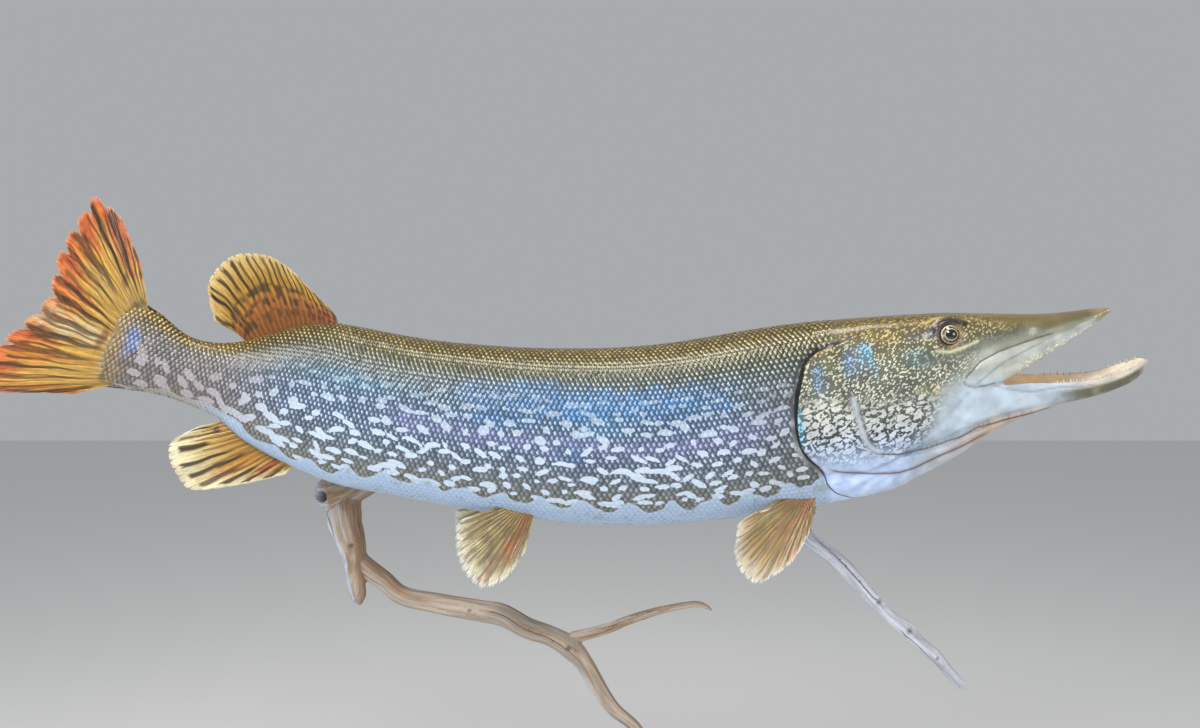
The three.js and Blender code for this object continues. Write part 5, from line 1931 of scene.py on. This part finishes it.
RED: Colour = (0.52, 0.09, 0.03)
RUST: Colour = (0.36, 0.1, 0.025)
ORANGE: Colour = (0.66, 0.24, 0.03)
CREAM: Colour = (0.72, 0.58, 0.32)
DARK: Colour = (0.055, 0.03, 0.012)
DORSAL = Fin(
    "dorsal_fin",
    [(0, 834, 76, 0), (0.5, 878, 62, 0), (1, 921, 38, 0)],
    [(0, 846, 98, 0), (0.12, 870, 114.5, 1), (0.25, 892, 128.5, 2), (0.4, 922, 138, 3), (0.55, 950, 137, 4),
     (0.68, 974, 127, 5), (0.8, 985, 106, 5), (0.9, 986, 84, 4), (1, 966, 53, 3)],
    21, 5, [(0, 0.26, 0.085, 0.014), (0.4, 0.4, 0.16, 0.02), (0.75, 0.56, 0.33, 0.06), (1, 0.7, 0.5, 0.2)],
    [Patch(12, 20, 22, 26, RUST, 0.9), Patch(18, 68, 9, 26, (0.75, 0.36, 0.03), 0.8),
     Patch(8, 45, 8, 20, RED, 0.5), Patch(90, 28, 9, 8, DARK, 0.9),
     Patch(2, 60, 3, 50, (0.2, 0.13, 0.05), 0.8)],
    [Streaks(20, 0.45, 0.985, 0.25, (0.03, 0.015, 0.006), 0.06, 1),
     Streaks(11, 0.2, 0.5, 0.3, RUST, strength=0.7), Streaks(19, 0.2, 0.31, 0.55, uneven=0.04, strength=0.75),
     Streaks(22, 0.35, 0.46, 0.6, uneven=0.04), Streaks(21, 0.51, 0.61, 0.6, uneven=0.04)],
    edge=(0.66, 0.5, 0.22), bow=(-5, 3),
)
ANAL = Fin(
    "anal_fin",
    [(0, 841, -68, 0), (0.5, 880, -57, 0), (1, 919, -40, 0)],
    [(0, 853, -86, 0), (0.12, 885, -102, 1), (0.25, 912, -114.5, 2), (0.38, 932, -122.5, 3),
     (0.55, 949, -111, 4), (0.7, 962, -94, 5), (0.85, 963, -78, 4), (1, 944, -56, 2)],
    17, 5, [(0, 0.24, 0.16, 0.05), (0.25, 0.6, 0.32, 0.06), (0.5, 0.76, 0.52, 0.17), (0.75, 0.88, 0.74, 0.42),
            (1, 0.92, 0.82, 0.56)],
    [Patch(42, 45, 12, 40, ORANGE, 0.6), Patch(18, 40, 5, 34, RED, 0.95), Patch(9, 60, 5, 30, ORANGE, 0.5),
     Patch(14, 12, 16, 9, (0.12, 0.12, 0.06), 0.8), Patch(88, 34, 8, 9, DARK, 0.9)],
    [Streaks(9, 0.28, 0.9, 0.24, strength=1), Streaks(16, 0.1, 0.62, 0.2, strength=0.6)],
    web_shade=0.3,
)
CAUDAL = Fin(
    "caudal_fin",
    [(0, 1030, 42, 0), (0.12, 1036, 40, 0), (0.5, 1040, -1, 0), (0.88, 1036, -41, 0), (1, 1032, -42, 0)],
    [(0, 1052, 82, 5), (0.06, 1084, 118, 9), (0.12, 1110, 130, 11), (0.22, 1119, 105, 8), (0.35, 1123, 62, 5),
     (0.48, 1117, 18, 2), (0.62, 1131, -22, 4), (0.78, 1150, -68, 9), (0.88, 1160, -97, 12),
     (0.94, 1110, -81, 8), (1, 1062, -64, 4)],
    27, 7, [(0, 0.36, 0.25, 0.1), (0.2, 0.66, 0.4, 0.09), (0.55, 0.82, 0.45, 0.09), (0.8, 0.8, 0.27, 0.06),
            (1, 0.78, 0.17, 0.06)],
    [Patch(10, 60, 5, 40, RED, 0.8), Patch(17, 62, 3, 30, (0.72, 0.45, 0.12), 0.8),
     Patch(22, 85, 2.5, 25, RED, 0.8), Patch(30, 50, 4, 30, (0.72, 0.5, 0.16), 0.7),
     Patch(34, 85, 2.5, 25, RED, 0.9), Patch(40, 70, 2, 32, RED, 0.7), Patch(45, 60, 2.4, 26, ORANGE, 0.7),
     Patch(54, 65, 7, 50, CREAM, 0.95), Patch(63, 80, 2, 25, RED, 0.9), Patch(70, 60, 5, 40, ORANGE, 0.8),
     Patch(78, 85, 2.5, 25, RED, 0.8), Patch(90, 50, 6, 40, ORANGE, 0.7),
     Patch(52, 6, 26, 8, (0.44, 0.46, 0.46), 0.7), Patch(20, 4, 12, 5, (0.16, 0.11, 0.04), 0.8),
     Patch(78, 5, 10, 4, (0.16, 0.11, 0.05), 0.8), Patch(6, 8, 5, 5, (0.14, 0.1, 0.04), 0.7),
     Patch(93, 80, 4, 12, DARK, 0.8), Patch(16, 28, 5, 6, DARK, 0.6),
     Patch(52, 22, 10, 5, (0.2, 0.07, 0.04), 0.7)],
    [Streaks(14, 0.06, 1, 0.22, uneven=0.05, strength=1),
     Streaks(28, 0.1, 0.9, 0.22, uneven=0.15, strength=0.8), Streaks(37, 0.5, 1, 0.14, RUST, strength=0.7)],
    edge=(0.62, 0.3, 0.16), notch=0.1, lobes=14, fray=0.025, columns=420, rows=100, web_shade=0.3,
)
PELVIC = Fin(
    "pelvic_fin",
    [(0, 592, -80, 25), (1, 614, -75, 31)],
    [(0, 597, -125, 40), (0.12, 612, -152, 50), (0.28, 636, -165, 56), (0.42, 650, -155, 54),
     (0.6, 662, -138, 51), (0.78, 667, -117, 48), (0.92, 664, -97, 44), (1, 645, -90, 40)],
    15, 5, [(0, 0.38, 0.23, 0.07), (0.4, 0.44, 0.32, 0.12), (0.75, 0.58, 0.48, 0.24), (1, 0.76, 0.72, 0.56)],
    [Patch(18, 42, 14, 34, (0.46, 0.15, 0.05), 0.9), Patch(30, 78, 5, 22, (0.42, 0.19, 0.09), 0.8),
     Patch(10, 12, 14, 10, RED, 0.5), Patch(55, 55, 10, 8, (0.24, 0.17, 0.07), 0.7),
     Patch(38, 66, 8, 7, (0.26, 0.22, 0.18), 0.7), Patch(76, 45, 8, 8, (0.22, 0.16, 0.08), 0.7),
     Patch(90, 30, 8, 10, (0.3, 0.22, 0.05), 0.6), Patch(4, 80, 5, 20, (0.7, 0.56, 0.28), 0.7)],
    [Streaks(13, 0.38, 0.93, 0.26, (0.16, 0.12, 0.09), 0.2, 0.8),
     Streaks(12, 0.26, 0.4, 0.7, (0.17, 0.12, 0.05), 0.05, 0.7),
     Streaks(14, 0.48, 0.62, 0.7, (0.2, 0.15, 0.08), 0.06, 0.65),
     Streaks(11, 0.7, 0.82, 0.6, (0.24, 0.2, 0.14), 0.06, 0.5)],
    edge=(0.85, 0.84, 0.78), notch=0.06, fray=0.06,
)
PECTORAL = Fin(
    "pectoral_fin",
    [(0, 304, -82, 31), (1, 330, -76, 36)],
    [(0, 318, -116, 54), (0.12, 343, -143, 64), (0.28, 385, -159, 76), (0.42, 400, -146, 75),
     (0.6, 405, -128, 72), (0.78, 401, -111, 68), (0.92, 390, -93, 62), (1, 362, -88, 54)],
    17, 6, [(0, 0.36, 0.19, 0.06), (0.4, 0.42, 0.25, 0.08), (0.8, 0.5, 0.36, 0.18), (1, 0.66, 0.6, 0.46)],
    [Patch(14, 16, 18, 16, (0.56, 0.15, 0.05), 0.8), Patch(30, 36, 12, 12, (0.52, 0.2, 0.05), 0.6),
     Patch(70, 50, 14, 24, (0.55, 0.46, 0.16), 0.7), Patch(62, 58, 12, 7, (0.3, 0.24, 0.06), 0.7),
     Patch(86, 40, 8, 7, (0.28, 0.24, 0.08), 0.7), Patch(12, 70, 12, 30, (0.42, 0.24, 0.12), 0.7)],
    [Streaks(14, 0.3, 0.92, 0.22, (0.17, 0.11, 0.045), 0.2, 0.85),
     Streaks(13, 0.14, 0.26, 0.7, (0.15, 0.11, 0.04), 0.05, 0.75),
     Streaks(15, 0.36, 0.48, 0.6, (0.17, 0.12, 0.045), 0.06, 0.6),
     Streaks(12, 0.58, 0.68, 0.55, (0.2, 0.14, 0.06), 0.06, 0.45)],
    edge=(0.74, 0.72, 0.66), notch=0.04, fray=0.04,
)


# ---- driftwood


@dataclass(frozen=True)
class WoodFinish:
    """Weathered wood, with its grain along the limbs."""

    name: str = "weathered_wood"

    def material(self) -> Material:
        """Builds it from the mesh's Tint, Split and Grain, a place stretched along the limb."""
        shader = Shader(self.name)
        grain = shader.attribute("Grain", "Vector")
        coarse = shader.noise(grain, 230, 4, 0.3)
        fine = shader.noise(grain, 900, 3)
        lines = shader.rise(shader.rise(coarse, 0.35, 0.66), 0, 1, 0.76, 1.1)
        shade = shader.math("MULTIPLY", lines, shader.rise(fine, 0.2, 0.8, 0.86, 1.12))
        colour = shader.shaded(shader.attribute("Tint"), shade)
        return shader.done({
            "Base Color": shader.lined(colour, shader.attribute("Split", "Fac"), 0.93, (0.03, 0.02, 0.015)),
            "Roughness": shader.rise(fine, 0.2, 0.8, 0.55, 0.85),
            "Normal": shader.bump(fine, 0.0004, 0.7, shader.bump(coarse, 0.0012, 0.8)),
        })


@dataclass(frozen=True)
class Limb:
    """One limb of the wood, by rows of x, y, z and radius in millimetres."""

    WAVES: ClassVar[tuple[Triple, ...]] = ((2, 0.07, 1.3), (3, 0.05, 4.1), (5, 0.025, 0.4))
    rows: list[Row]
    step: float = 2.6
    sides: int = 36

    def line(self) -> tuple[Array, Array]:
        """Returns points a step apart along the limb, with the radius, and the share of the way."""
        knots = np.array(self.rows, float)
        gaps = np.sqrt(np.linalg.norm(np.diff(knots[:, :3], axis=0), axis=1))
        at = np.append(0, np.cumsum(gaps))
        dense = Curve(np.column_stack([at, knots]))(np.linspace(0, at[-1], 600))
        run = np.append(0, np.cumsum(np.linalg.norm(np.diff(dense[:, :3], axis=0), axis=1)))
        along = np.linspace(0, run[-1], max(8, int(run[-1] / self.step)))
        return np.stack([np.interp(along, run, dense[:, k]) for k in range(4)], axis=1), along / run[-1]

    @staticmethod
    def frames(line: Array) -> tuple[Array, Array]:
        """Returns two directions across the limb at each point, which don't twist."""
        ahead = unit(np.gradient(line[:, :3], axis=0))
        across, first = np.cross(ahead[0], (0, 1, 0.01)), []
        for tangent in ahead:
            across = unit(across - tangent * np.dot(across, tangent))
            first.append(across)
        return np.array(first), np.cross(ahead, first)

    def shell(self, name: str) -> Item:
        """Makes the limb as a closed tube with round ends.

        Args:
            name: The object's name.

        Returns:
            The tube as an object.
        """
        line, share = self.line()
        first, second = (way[:, None] for way in self.frames(line))
        angle = np.linspace(0, 2 * math.pi, self.sides + 1)[:-1]
        turn = 5 * share[:, None]
        bends = (deep * np.sin(count * angle + phase + turn) for count, deep, phase in self.WAVES)
        wave = 1 + sum(bends)
        to_end = np.minimum(np.arange(len(line)), np.arange(len(line))[::-1])
        radius = line[:, 3:] * wave * np.sqrt(np.clip(to_end / 3, 0.12, 1))[:, None]
        angle = angle[:, None]
        rings = line[:, None, :3] + radius[..., None] * (np.cos(angle) * first + np.sin(angle) * second)
        return tube(name, rings * MM, line[[0, -1], :3] * MM, turned=True)


@dataclass(frozen=True)
class Crack:
    """A crack along a limb, from one share of its length to another."""

    limb: int
    start: float
    end: float
    angle: float
    width: float = 0.9


class Driftwood:
    """The wood the fish is mounted on, with its cracks, knots and broken ends."""

    LIMBS = [
        Limb([(-325, -72, -75, 13), (-316, -66, -71, 16.5), (-297, -57, -62, 22), (-235, -40, -21, 25),
              (-177, -32, 0, 28), (-95, -27, 8, 32), (0, -26, -1, 33), (95, -28, -24, 30),
              (171, -35, -63, 22), (223, -44, -105, 14), (236, -47, -117, 11)]),
        Limb([(-299, -55, -59, 19), (-295, -56, -101, 18.5), (-286, -56, -135, 15), (-284, -56, -164, 11.5),
              (-281, -56, -186, 10), (-278, -56, -199, 6.5)]),
        Limb([(-287, -56, -139, 11), (-276, -54, -152, 11.5), (-252, -51, -171, 10.5),
              (-233, -50, -188, 10.5), (-190, -51, -198, 11), (-139, -53, -206, 11.5),
              (-116, -54, -210, 12.2), (-83, -56, -226, 11.5), (-58, -57, -234, 11), (-34, -58, -248, 12.5),
              (-18, -59, -266, 10.5), (3, -61, -301, 9.5), (16, -62, -318, 8.5), (41, -63, -339, 7),
              (70, -64, -384, 5.5), (98, -62, -430, 4.5), (108, -60, -456, 2.2)]),
        Limb([(-39, -57, -239, 6.5), (-30, -58, -236, 6.5), (0, -60, -228, 5.8), (46, -64, -210, 5.1),
              (92, -67, -198, 4.3), (115, -68, -196, 3.6), (129, -69, -203, 2.2)]),
        Limb([(224, -44, -106, 10), (246, -50, -126, 9.5), (267, -52, -141, 9), (284, -54, -156, 9),
              (318, -58, -195, 8), (337, -60, -213, 8.5), (353, -61, -226, 9), (367, -62, -240, 7.5),
              (386, -63, -257, 8.3), (399, -64, -271, 6.5), (412, -65, -286, 6.2), (420, -66, -295, 4.6)]),
    ]
    CRACKS = [
        Crack(1, 0.02, 0.72, 2.6, 1), Crack(1, 0.3, 0.5, 0.6, 0.7), Crack(2, 0.3, 0.62, 1.4, 0.6),
        Crack(4, 0.1, 0.55, 1.2, 0.8), Crack(4, 0.6, 0.9, 2.4, 0.7), Crack(2, 0.66, 0.95, 2.2, 0.6),
        Crack(0, 0.02, 0.3, 1, 1.2), Crack(0, 0.4, 0.8, 2, 1.5), Crack(3, 0.2, 0.7, 1, 0.5),
    ]
    KNOTS = [(322, -193, 4.5), (355, -226, 5.5), (-284, -128, 4), (-36, -246, 5), (-150, -204, 3.5),
             (386, -257, 3.5)]
    HOLLOW = ((-322, -84, -72), 11)

    @classmethod
    def grain(cls, points: Array) -> tuple[Array, Array, Array, Array]:
        """Finds where each point lies on the limbs.

        Args:
            points: Points in millimetres.

        Returns:
            The limb's index, the share along it, the angle round it and the stretched place for the grain.
        """
        best = np.full(len(points), np.inf)
        limb, share, place = np.zeros(len(points), int), np.zeros(len(points)), np.zeros((len(points), 3))
        for index, one in enumerate(cls.LIMBS):
            line, shares = one.line()
            first, second = one.frames(line)
            for chunk in np.array_split(np.arange(len(points)), 12):
                away = np.linalg.norm(points[chunk, None] - line[:, :3], axis=2) - line[:, 3]
                nearest, least = np.argmin(away, axis=1), np.min(away, axis=1)
                better = least < best[chunk]
                chosen, at = chunk[better], nearest[better]
                off = points[chosen] - line[at, :3]
                ways = (first[at], second[at], np.cross(first[at], second[at]))
                x, y, ahead = (np.sum(off * way, axis=1) for way in ways)
                run = shares[at] * len(line) * one.step + ahead
                best[chosen], limb[chosen], share[chosen] = least[better], index, shares[at]
                place[chosen] = np.stack([x, y, run * 0.07 + 50 * index], axis=1)
        return limb, share, np.arctan2(place[:, 1], place[:, 0]), place

    def make(self) -> Item:
        """Makes the wood as one mesh."""
        made = fused("driftwood", [limb.shell(f"limb_{i}") for i, limb in enumerate(self.LIMBS)], 0.0017, 2)
        points, normal = points_of(made) / MM, normals_of(made)
        limb, share, angle, place = self.grain(points)
        radius = np.hypot(place[:, 0], place[:, 1])
        push = 0.6 * (cloud(angle * 3.2 + 7 * limb, share * 14, 5) - 0.5) * np.clip(radius / 9, 0.4, 2)
        push += 0.35 * np.sin(angle * 7 + 4 * np.sin(share * 9)) * np.clip(radius / 12, 0.3, 1.6)
        dark, split = np.zeros(len(points)), np.full(len(points), FAR)
        for crack in self.CRACKS:
            swing = crack.angle + 0.25 * np.sin(share * 11 + crack.limb)
            gap = np.angle(np.exp(1j * (angle - swing))) * radius
            gap += 1.2 * (cloud(share * 60, angle * 0, 21) - 0.5)
            ends = ramp(crack.start, crack.start + 0.05, share) * ramp(crack.end, crack.end - 0.1, share)
            width = crack.width * ends * (limb == crack.limb)
            push -= 1.1 * width * bell(gap, 1.9)
            gap = np.clip(gap / (0.75 * width + 0.02), -FAR, FAR)
            split = np.where(np.abs(gap) < np.abs(split), gap, split)
        facing = ramp(0, 0.5, -normal[:, 1])
        for x, z, wide in self.KNOTS:
            away = np.hypot(points[:, 0] - x, points[:, 2] - z) / wide
            push += facing * (1.6 * bell(away - 1.1, 0.45) - 1.4 * bell(away, 0.5))
            dark = np.maximum(dark, 0.8 * facing * bell(away, 0.55))
        middle, wide = self.HOLLOW
        hollow = ramp(1.15, 0.75, np.linalg.norm(points - middle, axis=1) / wide)
        points = points + normal * push[:, None] + hollow[:, None] * (9, 7, 0)
        points[:, 1] = np.minimum(points[:, 1], 0)
        move_points(made, points * MM)
        tint = self.colours(limb, cloud(angle * 1.6 + 5 * limb, share * 6, 9), normal)
        set_colour(made, "Tint", blend(tint, (0.02, 0.014, 0.012), 0.93 * np.maximum(dark, hollow)))
        set_values(made, "Grain", place * MM)
        set_values(made, "Split", split)
        made.data.materials.append(WoodFinish().material())
        return made

    @staticmethod
    def colours(limb: Array, cover: Array, normal: Array) -> Array:
        """Colours the wood: grey-tan and brown in a random cover, with painted warm light on faces turned
        right and painted cool window light on faces turned left and down.
        """
        stub = (limb <= 1).astype(float)
        # Painted warm light on faces turned right, mixed into a random brown cover; painted cool window light
        # on faces turned left and down.
        brown_and_warm_lit = ramp(0.35, 0.62, cover + 0.25 * normal[:, 0] * (1 + stub) - 0.1)
        blue_window_light = ramp(0.1, 0.7, -normal[:, 0] * (0.6 + 0.6 * stub) - 0.2 * normal[:, 2])
        tint = blend((0.47, 0.38, 0.3), (0.3, 0.18, 0.095), 0.8 * brown_and_warm_lit)
        tint = blend(tint, (0.46, 0.52, 0.62), 0.75 * blue_window_light)
        return blend(tint, (0.62, 0.68, 0.78), 0.72 * (limb == 4))


# ---- studio


@dataclass
class Studio:
    """A pale floor, soft light and the camera."""

    LAMPS: ClassVar[list[tuple[str, Triple, float, float, Colour]]] = [
        ("key", (-0.6, -1.9, 1.5), 0.8, 30, (1, 0.97, 0.93)),
        ("fill", (1.5, -1.6, 0.4), 0.8, 10, (0.93, 0.97, 1)),
        ("window", (-1.9, -1.1, -0.1), 0.9, 11, (0.82, 0.91, 1)),
        ("top", (0.1, -0.5, 1.6), 0.5, 13, (1, 0.95, 0.85)),
    ]  # name, place, size, power and hue
    camera_at: Triple = (0, -1.225, 0.08)
    lens: float = 30.27
    floor_z: float = -0.62

    @staticmethod
    def put(name: str, data: bpy.types.ID, at: Triple) -> Item:
        """Puts a camera or a lamp in the scene.

        Args:
            name: The object's name.
            data: The camera or lamp.
            at: Its place in metres.

        Returns:
            The new object.
        """
        made = bpy.data.objects.new(name, data)
        made.location = at
        bpy.context.scene.collection.objects.link(made)
        return made

    def make(self) -> None:
        """Makes the floor, soft lamps that point at the fish and a camera square to the wall."""
        scene = bpy.context.scene
        scene.view_settings.view_transform, scene.view_settings.look = "Standard", "None"
        scene.world = bpy.data.worlds.new("studio")
        scene.world.use_nodes = True
        sky = scene.world.node_tree.nodes["Background"].inputs
        sky["Color"].default_value, sky["Strength"].default_value = (0.88, 0.91, 0.95, 1), 0.45
        for name, at, size, power, hue in self.LAMPS:
            lamp = bpy.data.lights.new(name, "AREA")
            lamp.size, lamp.energy, lamp.color = size, power, hue
            aim = Vector((0, -0.1, 0)) - Vector(at)
            self.put(name, lamp, at).rotation_euler = aim.to_track_quat("-Z", "Y").to_euler()
        corners = [(x, y, self.floor_z) for x, y in ((-8, -8), (8, -8), (8, 8), (-8, 8))]
        made = build_mesh("floor", np.array(corners), [np.array([[0, 1, 2, 3]])])
        paint = Shader("pale_floor").done({"Base Color": (0.8, 0.8, 0.79), "Roughness": 0.8})
        made.data.materials.append(paint)
        camera = bpy.data.cameras.new("camera")
        camera.lens, camera.sensor_width, camera.clip_start, camera.clip_end = self.lens, 36, 0.01, 50
        scene.camera = self.put("camera", camera, self.camera_at)
        scene.camera.rotation_euler = (math.pi / 2, 0, 0)


# ---- all together


def settle(made: Item, slot: str, *nodes: str) -> None:
    """Hands a piece over: it rides the body and stands for the named solids.

    Args:
        made: The piece.
        slot: Not used.
        *nodes: The solids it stands for.
    """
    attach(made, BODY)
    if nodes:
        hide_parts(*nodes)
    triangles = sum(len(face.vertices) - 2 for face in made.data.polygons)
    LOG.info("%s: %d triangles", made.name, triangles)


def main() -> None:
    """Builds the mount piece by piece."""
    logging.basicConfig(level=logging.INFO, format="%(message)s")
    Studio().make()
    skin = Skin().make()
    ground = BVHTree.FromObject(skin, bpy.context.evaluated_depsgraph_get())
    settle(
        skin, "skin", "head", "lower_jaw", "throat", "gill_cover_right", "gill_cover_left",
        "maxilla_right", "maxilla_left", "trunk_front", "trunk_rear", "tail_stalk",
    )
    for side in (RIGHT, LEFT):
        settle(ScaleCoat(side, ground).make(), "skin")
        settle(Eyes().make(side), "eye", f"eye_{NAMES[side]}")
    settle(Teeth().make(), "mouth")
    settle(Tongue().make(), "mouth", "tongue")
    settle(DORSAL.make(), "fin", "dorsal_fin")
    settle(ANAL.make(), "fin", "anal_fin")
    settle(CAUDAL.make(), "tail_fin", "caudal_fin")
    settle(PELVIC.make(RIGHT), "fin", "pelvic_fin_right")
    settle(PELVIC.make(LEFT, 12, 0.8), "fin", "pelvic_fin_left")
    settle(PECTORAL.make(RIGHT), "fin", "pectoral_fin_right")
    settle(PECTORAL.make(LEFT, -20, 0.75), "fin", "pectoral_fin_left")
    settle(
        Driftwood().make(), "driftwood", "driftwood_trunk", "driftwood_stub", "driftwood_lower_branch",
        "driftwood_side_twig", "driftwood_right_branch",
    )


if __name__ == "__main__":
    main()
